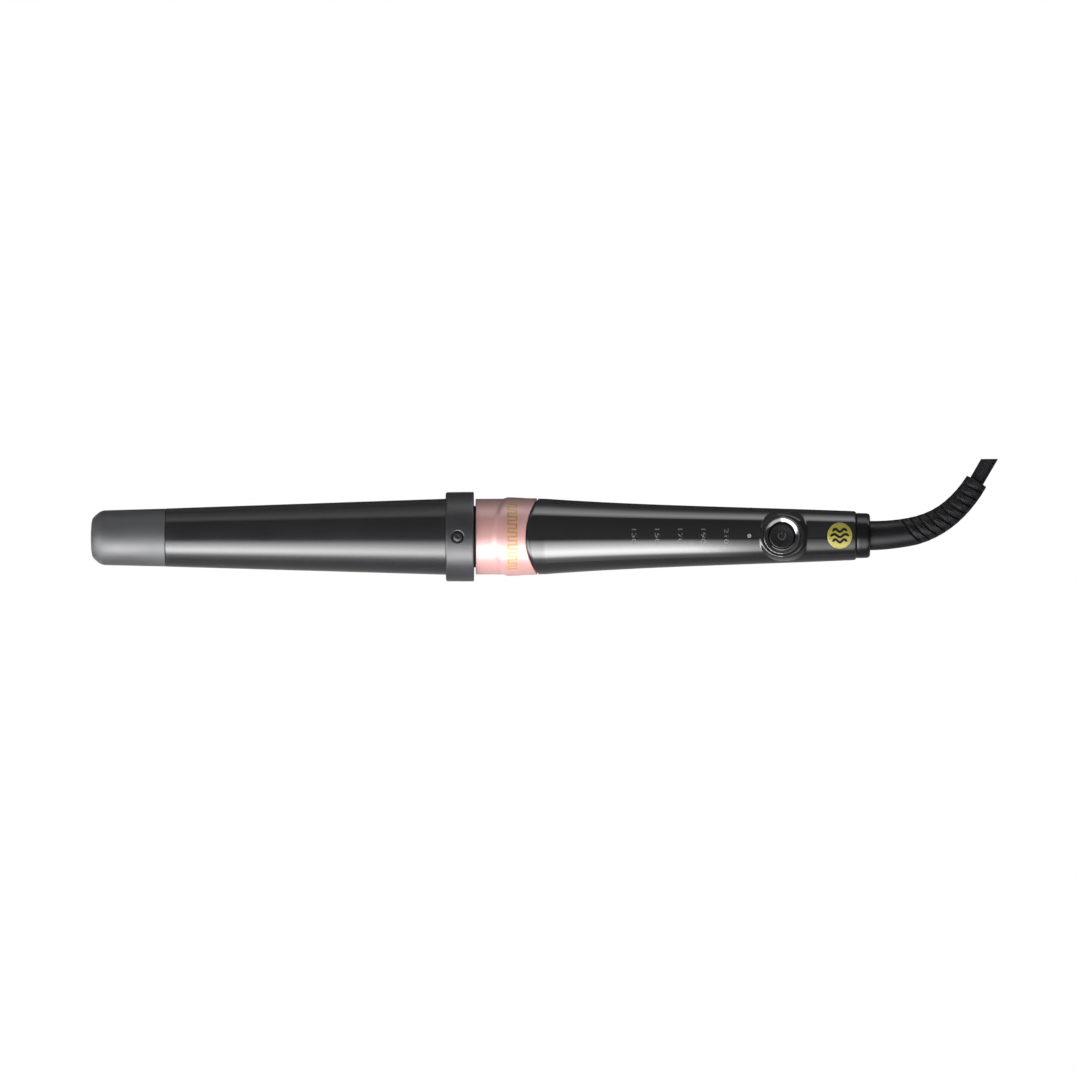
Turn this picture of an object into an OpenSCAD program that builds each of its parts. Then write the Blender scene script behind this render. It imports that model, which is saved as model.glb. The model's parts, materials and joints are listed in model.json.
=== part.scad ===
// Conical curling wand: heated barrel, collar, two-shell handle, push button and swivel cord.
// The long axis is X, the tip points to -X, the cord leaves towards +X and the button faces +Z.
// The origin is on the axis, at the middle of the collar.

/* [Barrel] */
// Barrel diameter beside the tip cap
barrel_tip_d = 25.2; // [24.6:0.1:26]
// Barrel diameter where it enters the collar
barrel_base_d = 33; // [32.5:0.25:33.5]
// Heated length between tip cap and collar
barrel_len = 121.6; // [118:0.2:126]
// Wall of the barrel tube
barrel_wall = 1.4; // [1.2:0.1:1.6]
// Length of the cool tip
tip_len = 32.5; // [31:0.1:34]

/* [Collar] */
// Outside diameter of the collar
collar_d = 38.8; // [38:0.2:41]
// Width of the collar
collar_w = 12.2; // [12:0.1:12.6]
// Air gap between the collar and the front ring
air_gap = 0.76; // [0.6:0.02:1]

/* [Handle] */
// Handle radius just behind the front ring
handle_r_front = 16.4; // [16.3:0.1:16.8]
// Handle radius at the cord end
handle_r_rear = 10.6; // [10.6:0.1:10.9]
// How much the taper is front-loaded
handle_ease = 0.68; // [0.5:0.02:0.8]
// Wall of the handle shells
handle_wall = 2; // [1.9:0.05:2.1]

/* [Controls] */
// Diameter of the power button
button_d = 11; // [10.6:0.1:11]
// Travel of the power button
button_travel = 0.5; // [0.3:0.1:0.6]
// Spacing of the temperature lights
light_pitch = 10; // [9.9:0.05:10.1]
// Number of temperature lights
light_count = 5; // [3:1:5]

/* [Cord] */
// Diameter of the cord
cord_d = 6.4; // [6:0.1:6.4]
// Radius of the boot where it leaves the handle
boot_r = 6.36; // [6.2:0.02:6.36]
// Number of ribs on the boot
boot_ribs = 9; // [7:1:10]

/* [Hidden] */
$fn = 72;
e = 0.01;

// ---- stations along the axis ----
x_col0 = -collar_w / 2;
x_col1 = collar_w / 2;
x_bar0 = x_col0 - barrel_len;
x_tip0 = x_bar0 - tip_len;
x_ring0 = x_col1 + air_gap;
x_hnd1 = 171.9;
x_end1 = 177.9;
x_btn = 139.5;
x_badge = 164.6;
x_led0 = 76.3;
x_pow = x_led0 + 49.1;
saddle_r = 30.6;
x_saddle = 28.86;
x_step = 13.67;
screw_x = -0.87;
board_z0 = 2.9;
board_z1 = 4.5;
handle_screw_x = [46, 101.3, 147.6];
board_screw_x = [66, 131];
cord_r = cord_d / 2;
sensor_z = -7.6;

// ---- profiles ----
function bar_out(x) = barrel_tip_d / 2 + (x - x_bar0) * (barrel_base_d - barrel_tip_d) / 2 / barrel_len;
function bar_in(x) = min(bar_out(x), barrel_base_d / 2) - barrel_wall;
function clamp(t) = min(1, max(0, t));
function ease(t) = t + handle_ease * t * (1 - t) * (1 - t);
function hnd(x) = handle_r_front - (handle_r_front - handle_r_rear) * ease(clamp((x - 37) / 135));
hx = [for (x = [37:13.5:172]) x];

// revolve a list of [radius, x] about the X axis
module rev(pts) rotate([0, 90, 0]) rotate_extrude() polygon(pts);
// cylinder along X from x0 to x1
module xcyl(r, x0, x1, y = 0, z = 0) translate([x0, y, z]) rotate([0, 90, 0]) cylinder(r = r, h = x1 - x0);
module xtube(ro, ri, x0, x1) difference() { xcyl(ro, x0, x1); xcyl(ri, x0 - 1, x1 + 1); }
module upper_half() intersection() { children(); translate([-300, -50, 0]) cube([600, 100, 50]); }
module lower_half() intersection() { children(); translate([-300, -50, -50]) cube([600, 100, 50]); }

// ================= barrel and tip =================
tip_pts = [[4, 0.1], [7, 0.35], [8.5, 0.75], [9.4, 1.65], [10.2, 2.5], [10.8, 3.4], [11.33, 4.25], [11.7, 5.1], [11.86, 5.9]];

module tip_cap() color([0.33, 0.33, 0.35]) difference() {
    union() {
        rev(concat([[0, x_tip0]], [for (p = tip_pts) [p[0], x_tip0 + p[1]]],
            [[barrel_tip_d / 2, x_bar0 - 0.05], [barrel_tip_d / 2 - 0.2, x_bar0], [0, x_bar0]]));
        xcyl(bar_in(x_bar0) - 0.08, x_bar0 - 1, x_bar0 + 10);
    }
    // hollow behind the face, round a central screw tube
    difference() {
        rev([[0, x_tip0 + 3], [7.6, x_tip0 + 3], [9.9, x_tip0 + 6.5], [9.9, x_tip0 + 20], [9.2, x_bar0 - 1], [9.2, x_bar0 + 11], [0, x_bar0 + 11]]);
        xcyl(4.7, x_tip0, x_tip0 + 23);
    }
    xcyl(3.15, x_tip0 - 1, x_tip0 + 20);
    xcyl(1.45, x_tip0, x_tip0 + 24);
}
module tip_plug() color([0.3, 0.3, 0.32]) difference() {
    rev([[0, x_tip0 + 0.12], [2.7, x_tip0 + 0.12], [3.1, x_tip0 + 0.5], [3.1, x_tip0 + 4.5], [0, x_tip0 + 4.5]]);
    xcyl(2.2, x_tip0 + 1.6, x_tip0 + 5);
}
module tip_screw() color("silver") difference() {
    union() {
        rev([[0, x_tip0 + 17.6], [1.6, x_tip0 + 17.6], [2.4, x_tip0 + 18.2], [2.6, x_tip0 + 19.9], [0, x_tip0 + 19.9]]);
        xcyl(1.2, x_tip0 + 19, x_bar0 + 17.3);
    }
    translate([x_tip0 + 17, -0.35, -1.6]) cube([1.6, 0.7, 3.2]);
    translate([x_tip0 + 17, -1.6, -0.35]) cube([1.6, 3.2, 0.7]);
}
module barrel() color([0.2, 0.2, 0.22]) difference() {
    rev([[bar_in(x_bar0), x_bar0 + 0.05], [barrel_tip_d / 2 - 0.25, x_bar0 + 0.05], [bar_out(x_bar0 + 0.4), x_bar0 + 0.4],
         [barrel_base_d / 2, x_col0], [barrel_base_d / 2, 3.95], [barrel_base_d / 2 - barrel_wall, 3.95], [barrel_base_d / 2 - barrel_wall, x_col0]]);
    collar_screw_holes(1.35);
}
module collar_screw_holes(r) translate([screw_x, 0, -25]) cylinder(r = r, h = 50);
x_fs = x_bar0 + 10.5;
module front_spacer() color([0.85, 0.83, 0.78]) difference() {
    rev([[1.25, x_fs], [bar_in(x_fs) - 0.08, x_fs], [bar_in(x_fs) - 0.08, x_fs + 8], [1.25, x_fs + 8]]);
    for (a = [0:60:300]) rotate([a, 0, 0]) xcyl(1.6, x_fs - 1, x_fs + 9, 0, 6.6);
}

// ================= heater =================
x_h0 = x_bar0 + 19.5;
x_h1 = x_col0 - 16;
module spreader() difference() {
    upper_half() rev([[0, x_h0], [bar_in(x_h0) - 0.12, x_h0], [bar_in(x_h1) - 0.12, x_h1], [0, x_h1]]);
    translate([x_h0 - 1, -20, -1]) cube([x_h1 - x_h0 + 2, 40, 2.72]);
    for (y = [-4.4, 4.4]) xcyl(2.2, x_h0 - 1, x_h1 + 1, y, 6.3);
}
module heat_spreader_upper() color("silver") spreader();
module heat_spreader_lower() color("silver") difference() {
    mirror([0, 0, 1]) spreader();
    xcyl(1.25, x_h1 - 20, x_h1 + 1, 0, sensor_z);
}
x_p0 = x_h0 + 5.4;
module ptc_plates() color([0.45, 0.42, 0.4]) for (i = [0:2]) translate([x_p0 + i * 24.6, -7, -1.15]) cube([24, 14, 2.3]);
module electrode() {
    translate([x_p0 - 1, -6.6, 1.17]) cube([76, 13.2, 0.35]);
    translate([x_p0 + 74, 2, 1.17]) cube([x_h1 + 5 - x_p0 - 74, 3, 0.35]);
}
module electrode_upper() color([0.8, 0.65, 0.35]) electrode();
module electrode_lower() color([0.8, 0.65, 0.35]) mirror([0, 0, 1]) mirror([0, 1, 0]) electrode();
module insulation_film() color([0.8, 0.5, 0.15]) difference() {
    translate([x_p0 - 3, -7.5, -1.68]) cube([80, 15, 3.36]);
    translate([x_p0 - 4, -7.37, -1.55]) cube([82, 14.74, 3.1]);
}
// wavy leaf springs in the side gaps, pushing the two spreaders against the barrel
module wave(n, p, a, t) polygon(concat([for (i = [0:n]) [i * p, (i % 2 ? a : -a) - t / 2]], [for (i = [n:-1:0]) [i * p, (i % 2 ? a : -a) + t / 2]]));
module spreader_springs() color("lightsteelblue") for (y = [-8.1, 10.3]) translate([x_p0 + 2, y, 0]) rotate([90, 0, 0]) linear_extrude(2.2) wave(12, 5.5, 1.3, 0.35);
module rear_spacer() color([0.85, 0.83, 0.78]) difference() {
    xcyl(bar_in(x_h1 + 0.6) - 0.12, x_h1 + 0.6, x_h1 + 3.8);
    translate([x_h1, -6.5, -2.4]) cube([5, 13, 4.8]);
    xcyl(1.5, x_h1, x_h1 + 5, 0, sensor_z);
}
module temperature_sensor() color([0.2, 0.45, 0.35]) union() {
    xcyl(1.1, x_h1 - 18, x_h1 + 4.2, 0, sensor_z);
    translate([x_h1 - 18, 0, sensor_z]) sphere(r = 1.12);
}
module thermal_fuse() color("silver") union() {
    xcyl(2, -13, -4, 4.2, 4.6);
    xcyl(1.1, -14.4, -2.6, 4.2, 4.6);
}

// ================= collar and neck =================
module collar() color([0.22, 0.22, 0.24]) difference() {
    rev([[barrel_base_d / 2 + 0.06, x_col0], [collar_d / 2 - 0.75, x_col0], [collar_d / 2 - 0.06, x_col0 + 0.6], [collar_d / 2, x_col0 + 4.4], [collar_d / 2, x_col1 - 0.4], [collar_d / 2 - 0.4, x_col1],
         [13.42, x_col1], [13.42, 4.05], [barrel_base_d / 2 + 0.06, 4.05]]);
    collar_screw_holes(1.35);
    for (s = [0, 180]) rotate([s, 0, 0]) translate([screw_x, 0, collar_d / 2 - 1.45]) cylinder(r = 2.6, h = 5);
}
module collar_screws() color([0.15, 0.15, 0.16]) for (s = [0, 180]) rotate([s, 0, 0]) translate([screw_x, 0, collar_d / 2 - 1.45]) difference() {
    union() {
        rotate_extrude() polygon([[0, 0], [2.35, 0], [2.35, 0.35], [2.1, 0.75], [1.5, 1.08], [0.7, 1.24], [0, 1.28]]);
        translate([0, 0, -6.2]) cylinder(r = 1.05, h = 6.5);
    }
    translate([0, 0, 0.55]) cylinder(r = 0.85, h = 2, $fn = 6);
}
module neck_tube() color([0.12, 0.12, 0.13]) difference() {
    rev([[9, -16], [bar_in(-16) - 0.06, -16], [bar_in(x_col0) - 0.06, x_col0], [bar_in(x_col0) - 0.06, 3.95], [13.35, 3.95],
         [13.35, 19.9], [14, 19.9], [14, 22.1], [13.35, 22.1], [13.35, 30], [9, 30]]);
    collar_screw_holes(1.1);
}

// ================= front ring =================
module saddle(x, r) translate([x + r, 0, -40]) cylinder(r = r, h = 80, $fn = 180);
module front_ring() color([0.85, 0.62, 0.6]) difference() {
    union() {
        rev([[14.95, x_ring0], [16.15, x_ring0], [16.45, x_ring0 + 0.35], [16.45, 37], [14.95, 37]]);
        intersection() {
            rev([[14.95, 12], [16.85, 12], [16.85, 30], [16.6, 37], [14.95, 37]]);
            saddle(x_step, saddle_r);
        }
    }
    saddle(x_saddle - 0.08, saddle_r + 0.08);
}

// ================= handle shells =================
module handle_body() difference() {
    union() {
        intersection() {
            rev(concat([[14, 27]], [[hnd(27), 27]], [for (x = hx) if (x < 171) [hnd(x), x]], [[hnd(171.4), 171.4], [10.1, x_hnd1], [8, x_hnd1], [8, 100], [14, 60]]));
            union() { saddle(x_saddle, saddle_r); translate([45, -30, -30]) cube([140, 60, 60]); }
        }
        rev([[13, x_ring0 + 0.4], [14.88, x_ring0 + 0.4], [14.88, 44], [13, 44]]);
        rev([[6.8, 166], [8.9, 166], [8.9, 176.4], [6.8, 176.4]]);
    }
    rev([[0, 0], [13.42, 0], [13.42, 32], [hnd(37) - handle_wall, 37], [hnd(64) - handle_wall, 64], [hnd(91) - handle_wall, 91], [hnd(118) - handle_wall, 118],
         [hnd(145) - handle_wall, 145], [hnd(170.6) - handle_wall, 170.6], [7.1, 170.6], [7.1, 180], [0, 180]]);
    rev([[13, 19.8], [14.06, 19.8], [14.06, 22.2], [13, 22.2]]);
}
module boss_post(x, r, z0) translate([x, 0, z0]) cylinder(r = r, h = hnd(x) - 0.9 - z0);
module handle_upper() color([0.03, 0.03, 0.035]) difference() {
    union() {
        upper_half() handle_body();
        // round pad that carries the button
        difference() {
            translate([x_btn, 0, 0]) rotate_extrude() polygon([[0, 5], [10.3, 5], [10.3, 9.6], [9.9, 11.2], [8.75, 12.3], [0, 12.3]]);
            rev([[0, 125], [hnd(125) - handle_wall, 125], [hnd(145) - handle_wall, 145], [hnd(155) - handle_wall, 155], [0, 155]]);
        }
        for (x = handle_screw_x) boss_post(x, 2.6, 0);
        for (x = board_screw_x) boss_post(x, 1.7, board_z1 + 0.02);
    }
    translate([x_btn, 0, 0]) {
        cylinder(r = button_d / 2 + 0.2, h = 20);
        translate([0, 0, 11.3]) cylinder(r = 8, h = 5);
        for (a = [30:120:270]) rotate([0, 0, a]) translate([6.8, 0, 9.9]) cylinder(r = 0.63, h = 3);
    }
    for (i = [0:light_count - 1]) translate([x_led0 + i * light_pitch, 0, 5]) cylinder(r = 0.65, h = 20);
    translate([x_pow, 0, 5]) cylinder(r = 0.95, h = 20);
    for (x = handle_screw_x) translate([x, 0, -1]) cylinder(r = 1.1, h = 8.5);
    for (x = board_screw_x) translate([x, 0, 3]) cylinder(r = 0.8, h = 5);
    badge_form(5.75, -0.45, 2);
}
module handle_lower() color([0.03, 0.03, 0.035]) difference() {
    union() {
        lower_half() handle_body();
        for (x = handle_screw_x) rotate([180, 0, 0]) boss_post(x, 3.3, 0);
    }
    for (x = handle_screw_x) {
        translate([x, 0, -30]) cylinder(r = 1.3, h = 40);
        translate([x, 0, -30]) cylinder(r = 2.2, h = 24);
    }
}
module handle_screws() color("silver") for (x = handle_screw_x) translate([x, 0, 0]) difference() {
    union() {
        translate([0, 0, -7.3]) cylinder(r = 2.05, h = 1.3);
        translate([0, 0, -6.2]) cylinder(r = 1.05, h = 13.2);
    }
    for (a = [0, 90]) rotate([0, 0, a]) translate([-1.3, -0.3, -8]) cube([2.6, 0.6, 1.3]);
}
module end_ring() color([0.09, 0.09, 0.1])
    rev([[8.96, x_hnd1 + 0.15], [9.45, x_hnd1 + 0.15], [9.75, x_hnd1 + 0.45], [9.7, 176.6], [9.3, 177.5], [8.9, x_end1], [6.46, x_end1], [6.46, 176.5], [8.96, 176.5]]);
module badge_form(r, d0, d1) intersection() {
    translate([x_badge, 0, 0]) cylinder(r = r, h = 20);
    rev([[hnd(157) + d0, 157], [hnd(157) + d1, 157], [hnd(173) + d1, 173], [hnd(173) + d0, 173]]);
}
module badge() color([0.8, 0.68, 0.3]) badge_form(5.7, -0.43, 0.1);

// ================= board and controls =================
module main_board() color([0.05, 0.3, 0.15]) difference() {
    translate([60, -7.8, board_z0]) cube([84.3, 15.6, board_z1 - board_z0]);
    translate([101.3, 0, 0]) cylinder(r = 2.8, h = 10);
    for (x = board_screw_x) translate([x, 0, 0]) cylinder(r = 1.1, h = 10);
    for (y = [-5, 5]) translate([62.5, y, 0]) cylinder(r = 1, h = 10);
    for (y = [-2.5, 0, 2.5]) translate([88.1, y, 0]) cylinder(r = 0.5, h = 10);
}
module board_screws() color("silver") for (x = board_screw_x) translate([x, 0, 0]) difference() {
    union() { translate([0, 0, board_z0 - 1.02]) cylinder(r = 1.6, h = 1); translate([0, 0, board_z0 - 0.5]) cylinder(r = 0.75, h = 5); }
    translate([-1, -0.2, board_z0 - 1.5]) cube([2, 0.4, 0.9]);
}
module smd_led(x) translate([x, 0, board_z1 + e]) { translate([-1, -0.6, 0]) cube([2, 1.2, 0.45]); translate([-0.6, -0.6, 0.4]) cube([1.2, 1.2, 0.35]); }
module temperature_leds() color([0.9, 0.9, 0.8]) for (i = [0:light_count - 1]) smd_led(x_led0 + i * light_pitch);
module power_led() color([0.9, 0.9, 0.8]) smd_led(x_pow);
module lens(x, r) intersection() {
    translate([x, 0, board_z1 + 0.9]) union() { cylinder(r = r + 0.6, h = 1.4); cylinder(r = r, h = 20); }
    rev([[0, x - 3], [hnd(x - 3) + 0.04, x - 3], [hnd(x + 3) + 0.04, x + 3], [0, x + 3]]);
}
module temperature_lenses() color([0.25, 0.25, 0.25]) for (i = [0:light_count - 1]) lens(x_led0 + i * light_pitch, 0.6);
module power_lens() color([0.9, 0.9, 0.95]) lens(x_pow, 0.9);
module switch_body() color([0.1, 0.1, 0.1]) difference() {
    translate([x_btn - 3, -3, board_z1 + e]) cube([6, 6, 3.5]);
    translate([x_btn, 0, 6.5]) cylinder(r = 1.8, h = 5);
}
module switch_plunger() color([0.75, 0.1, 0.1]) translate([x_btn, 0, 7.1]) cylinder(r = 1.75, h = 1.7);
module power_button() color([0.03, 0.03, 0.03]) translate([x_btn, 0, 0]) union() {
    difference() {
        rotate_extrude() polygon([[0, 5.6], [button_d / 2 - 0.05, 5.6], [button_d / 2 - 0.05, 10.2], [button_d / 2, 10.3], [button_d / 2, 11.55], [button_d / 2 - 0.35, 11.9], [0, 11.9]]);
        translate([0, 0, 5]) cylinder(r = 4.6, h = 5.4);
    }
    translate([0, 0, 8.82]) cylinder(r = 1.4, h = 2);
    for (s = [-1, 1]) translate([-2, s * 5.75 - 0.85, 5.6]) cube([4, 1.7, 1.1]);
}
module button_bezel() color([0.85, 0.85, 0.87]) translate([x_btn, 0, 0]) union() {
    rotate_extrude() polygon([[5.58, 11.32], [7.9, 11.32], [7.9, 12.35], [7.75, 12.5], [7.35, 12.5], [6.9, 12.3], [6.3, 11.98], [5.75, 11.78], [5.58, 11.7]]);
    for (a = [30:120:270]) rotate([0, 0, a]) translate([6.8, 0, 10.2]) cylinder(r = 0.6, h = 1.3);
}
module triac() color([0.1, 0.1, 0.1]) union() {
    translate([86, -5, -5.6]) cube([4.4, 10, 8.48]);
    for (y = [-2.5, 0, 2.5]) translate([87.8, y - 0.35, 2.5]) cube([0.6, 0.7, 1.9]);
}
module filter_capacitor() color([0.85, 0.75, 0.2]) translate([69.5, -2.75, -7.6]) cube([13, 5.5, 10.48]);
module smoothing_capacitor() color([0.1, 0.15, 0.35]) translate([112, 0, 0]) difference() {
    rotate_extrude() polygon([[0, -7], [3.6, -7], [4, -6.6], [4, 1.6], [3.8, 1.9], [4, 2.2], [4, 2.88], [0, 2.88]]);
    for (a = [0, 90]) rotate([0, 0, a]) translate([-3, -0.1, -7.2]) cube([6, 0.2, 0.4]);
}
module board_fuse() color([0.85, 0.8, 0.65]) union() { xcyl(1.5, 121.5, 127.5, -4, 1.3); xcyl(1.6, 121.2, 123, -4, 1.3); xcyl(1.6, 126, 127.8, -4, 1.3); }
module microcontroller() color([0.08, 0.08, 0.08]) union() {
    translate([116.5, 1.2, board_z0 - 1.55]) cube([9.9, 3.9, 1.4]);
    for (i = [0:7]) for (y = [0.3, 5.0]) translate([117.1 + i * 1.22, y, board_z0 - 0.9]) cube([0.4, 1, 0.88]);
}

// ================= wiring =================
function bez(p, t) = let (u = 1 - t) u * u * u * p[0] + 3 * u * u * t * p[1] + 3 * u * t * t * p[2] + t * t * t * p[3];
function dbez(p, t) = let (u = 1 - t) 3 * u * u * (p[1] - p[0]) + 6 * u * t * (p[2] - p[1]) + 3 * t * t * (p[3] - p[2]);
// a round wire along a cubic curve, n stations, m sides
module wire(p, r, n = 12, m = 8) {
    pts = [for (i = [0:n]) let (c = bez(p, i / n), d = dbez(p, i / n), w = d / norm(d), u = cross([0.13, 0.09, 1], w) / norm(cross([0.13, 0.09, 1], w)), v = cross(w, u))
        for (j = [0:m - 1]) c + r * (cos(360 * j / m) * u + sin(360 * j / m) * v)];
    polyhedron(pts, concat([[for (j = [0:m - 1]) m - 1 - j]], [[for (j = [0:m - 1]) n * m + j]],
        [for (i = [0:n - 1]) for (j = [0:m - 1]) [i * m + j, i * m + (j + 1) % m, (i + 1) * m + (j + 1) % m, (i + 1) * m + j]]));
}
module heater_leads() color([0.9, 0.9, 0.85]) for (s = [-1, 1])
    wire([[x_h1 + 4.6, -s * 3.6, s * 2.6], [-4, -s * 3.6, s * 7.5], [30, s * 11, s * 2.4], [61, s * 5, 1.7]], 0.85, 18, 8);
module sensor_leads() color([0.7, 0.1, 0.1]) for (s = [-1, 1])
    wire([[x_h1 + 4.3, s * 0.5, sensor_z], [0, s * 0.6, -5], [30, s * 7, -9], [64, s * 6.6, 2.2]], 0.42, 18, 6);
module supply_leads() color([0.35, 0.2, 0.1]) for (s = [-1, 1])
    wire([[149.3, -5.9, s * 4.6], [146.5, -5.9, s * 4.6], [146.8, -5.2 - s * 1.2, 1.4], [141.5, -5.2 - s * 1.2, 1.7]], 0.8, 8, 8);

// ================= swivel =================
module swivel_housing() difference() {
    xcyl(8.5, 151, 170.5);
    rev([[0, 150], [2.06, 150], [2.06, 152.2], [6.8, 152.2], [6.8, 162.6], [4.96, 162.6], [4.96, 164], [7.1, 164], [7.1, 166.8], [6.42, 166.8], [6.42, 171], [0, 171]]);
    for (s = [-1, 1]) translate([150, -7.3, s > 0 ? 3.6 : -5.6]) cube([4, 2.6, 2]);
}
module swivel_housing_upper() color([0.8, 0.8, 0.75]) upper_half() swivel_housing();
module swivel_housing_lower() color([0.8, 0.8, 0.75]) lower_half() swivel_housing();
module brush(x) translate([x, 0, 0]) rotate([90, 0, 90]) linear_extrude(2.2, center = true)
    polygon([[-5.3, 3.8], [-4.95, 3.8], [-2.5, 4.9], [0, 4.72], [2.5, 4.9], [3.4, 5.3], [3.4, 5.65], [2.5, 5.25], [0, 5.07], [-2.5, 5.25], [-5.3, 4.2]]);
module brush_contacts() color([0.85, 0.6, 0.3]) {
    brush(155.45);
    translate([149.6, -5.3, 3.8]) cube([5, 0.4, 0.35]);
    translate([149.6, -6.7, 3.8]) cube([1.4, 1.6, 0.35]);
    mirror([0, 0, 1]) { brush(159.85); translate([149.6, -5.3, 3.8]) cube([9.4, 0.4, 0.35]); translate([149.6, -6.7, 3.8]) cube([1.4, 1.6, 0.35]); }
}
module swivel_washer() color("silver") xtube(6.8, 5, 164.06, 164.7);
module swivel_hub() color([0.85, 0.85, 0.82]) difference() {
    rev([[0, 151.2], [1.7, 151.2], [2, 151.6], [2, 152.6], [3.4, 152.6], [3.4, 157.1], [5.3, 157.1], [5.3, 158.2], [3.4, 158.2], [3.4, 162],
         [4.9, 162], [4.9, 164.78], [6.9, 164.78], [6.9, 166.6], [4.4, 166.6], [4.4, 176], [0, 176]]);
    xcyl(cord_r + 0.05, 171, 177);
    for (z = [-1.3, 1.3]) xcyl(1.15, 155, 172, 0, z);
}
module slip_rings() color([0.85, 0.6, 0.3]) { xtube(4.7, 3.44, 154.2, 156.7); xtube(4.7, 3.44, 158.6, 161.1); }

// ================= cord =================
// the cord leaves along +X and bends towards +Y: straight, then three arcs, then straight
arcs = [[91.5, 10.7], [39, 32.2], [53.6, 16.8]];
x_c0 = 178.3;
cut_y = 33.1;
// neighbouring pieces of a sweep overlap a little and differ by a hair in size, so each seam is a clean step
lap = [0.1, 0.2, 0.1];
thin = [0.01, 0, 0.01];
module after(k) {
    if (k < 0) translate([x_c0, 0, 0]) children();
    else after(k - 1) translate([arcs[k][0] * sin(arcs[k][1]), arcs[k][0] * (1 - cos(arcs[k][1])), 0]) rotate([0, 0, arcs[k][1]]) children();
}
// a section swept round arc k from angle a0 to a1
module arc_part(k, a0, a1) after(k - 1) translate([0, arcs[k][0], 0]) rotate([0, 0, a0 - 90]) rotate_extrude(angle = a1 - a0) translate([arcs[k][0], 0]) children();
module line_part(x0, x1) after(2) translate([x0, 0, 0]) rotate([90, 0, 90]) linear_extrude(x1 - x0) children();
// a round disc of the boot, w wide, centred at angle a of arc k
module disc_at(k, a, r0, r1, w) after(k - 1) translate([0, arcs[k][0], 0]) rotate([0, 0, a]) translate([-w / 2, -arcs[k][0], 0]) rotate([0, 90, 0]) cylinder(r1 = r0, r2 = r1, h = w);
// a section made of a round outline with round holes, swept from x0 to the cut end of the cord
module cord_section(ro, holes, ri, t) difference() { circle(r = ro - t); for (z = holes) translate([0, z]) circle(r = ri + t); }
module sweep(x0, z, ro, holes, ri) difference() {
    union() {
        translate([x0, 0, z]) rotate([90, 0, 90]) linear_extrude(x_c0 - x0) cord_section(ro, holes, ri, 0);
        for (k = [0:2]) arc_part(k, -lap[k], arcs[k][1]) translate([0, z]) cord_section(ro, holes, ri, thin[k]);
        line_part(-0.15, 16) translate([0, z]) cord_section(ro, holes, ri, 0);
    }
    translate([200, cut_y, -20]) cube([60, 40, 40]);
}
module cord_sheath() color([0.05, 0.05, 0.055]) sweep(171.2, 0, cord_r, [-1.3, 1.3], 1.15);
module live_core() color([0.35, 0.18, 0.08]) sweep(156, 1.3, 1.1, [0], 0.62);
module neutral_core() color([0.1, 0.3, 0.7]) sweep(156, -1.3, 1.1, [0], 0.62);
module conductors() color([0.8, 0.5, 0.3]) for (z = [-1.3, 1.3]) sweep(155.2, z, 0.6, [], 0);
// the boot: plain at its root, then ribs that get smaller towards the cord
s_boot = 55;
s_rib0 = 22;
function boot_or(s) = boot_r - (boot_r - 4.85) * (s < 20 ? s / 20 * 0.24 : 0.24 + (s - 20) / 35 * 0.76);
function arc_end(k) = (k < 0 ? 0 : arc_end(k - 1) + arcs[k][0] * arcs[k][1] * PI / 180);
module rib(s, w) let (q = s - (x_c0 - x_end1), k = q < arc_end(1) ? 1 : 2)
    disc_at(k, (q - arc_end(k - 1)) / arcs[k][0] * 180 / PI, boot_or(s - w / 2), boot_or(s + w / 2), w);
module cord_boot() color([0.05, 0.05, 0.055]) difference() {
    union() {
        xcyl(boot_r, 166.7, x_c0);
        arc_part(0, -0.1, 6) circle(r = boot_r - 0.14);
        arc_part(0, 5.9, arcs[0][1]) circle(r = boot_r - 0.27);
        arc_part(1, -0.2, 3.5) circle(r = boot_r - 0.36);
        arc_part(1, 3.4, 18) circle(r = boot_or(31) - 0.65);
        arc_part(1, 17.9, arcs[1][1]) circle(r = boot_or(39) - 0.6);
        arc_part(2, -0.1, (s_boot - 1 - (x_c0 - x_end1) - arc_end(1)) / arcs[2][0] * 180 / PI) circle(r = boot_or(50) - 0.5);
        for (i = [0:boot_ribs - 1]) rib(s_rib0 + i * (s_boot - 1 - s_rib0) / (boot_ribs - 1), i == boot_ribs - 1 ? 2 : 2.3);
    }
    xcyl(4.42, 166, 176.02);
    xcyl(cord_r + 0.04, 176, x_c0);
    for (k = [0:2]) arc_part(k, -lap[k], arcs[k][1]) circle(r = cord_r + 0.04 - thin[k] / 2);
}

tip_cap();
tip_plug();
tip_screw();
barrel();
front_spacer();
heat_spreader_upper();
heat_spreader_lower();
ptc_plates();
electrode_upper();
electrode_lower();
insulation_film();
spreader_springs();
rear_spacer();
temperature_sensor();
thermal_fuse();
collar();
collar_screws();
neck_tube();
front_ring();
handle_upper();
handle_lower();
handle_screws();
end_ring();
main_board();
board_screws();
temperature_leds();
power_led();
temperature_lenses();
power_lens();
switch_body();
switch_plunger();
power_button();
button_bezel();
badge();
triac();
filter_capacitor();
smoothing_capacitor();
board_fuse();
microcontroller();
heater_leads();
sensor_leads();
supply_leads();
swivel_housing_upper();
swivel_housing_lower();
brush_contacts();
swivel_washer();
swivel_hub();
slip_rings();
cord_boot();
cord_sheath();
live_core();
neutral_core();
conductors();
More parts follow.
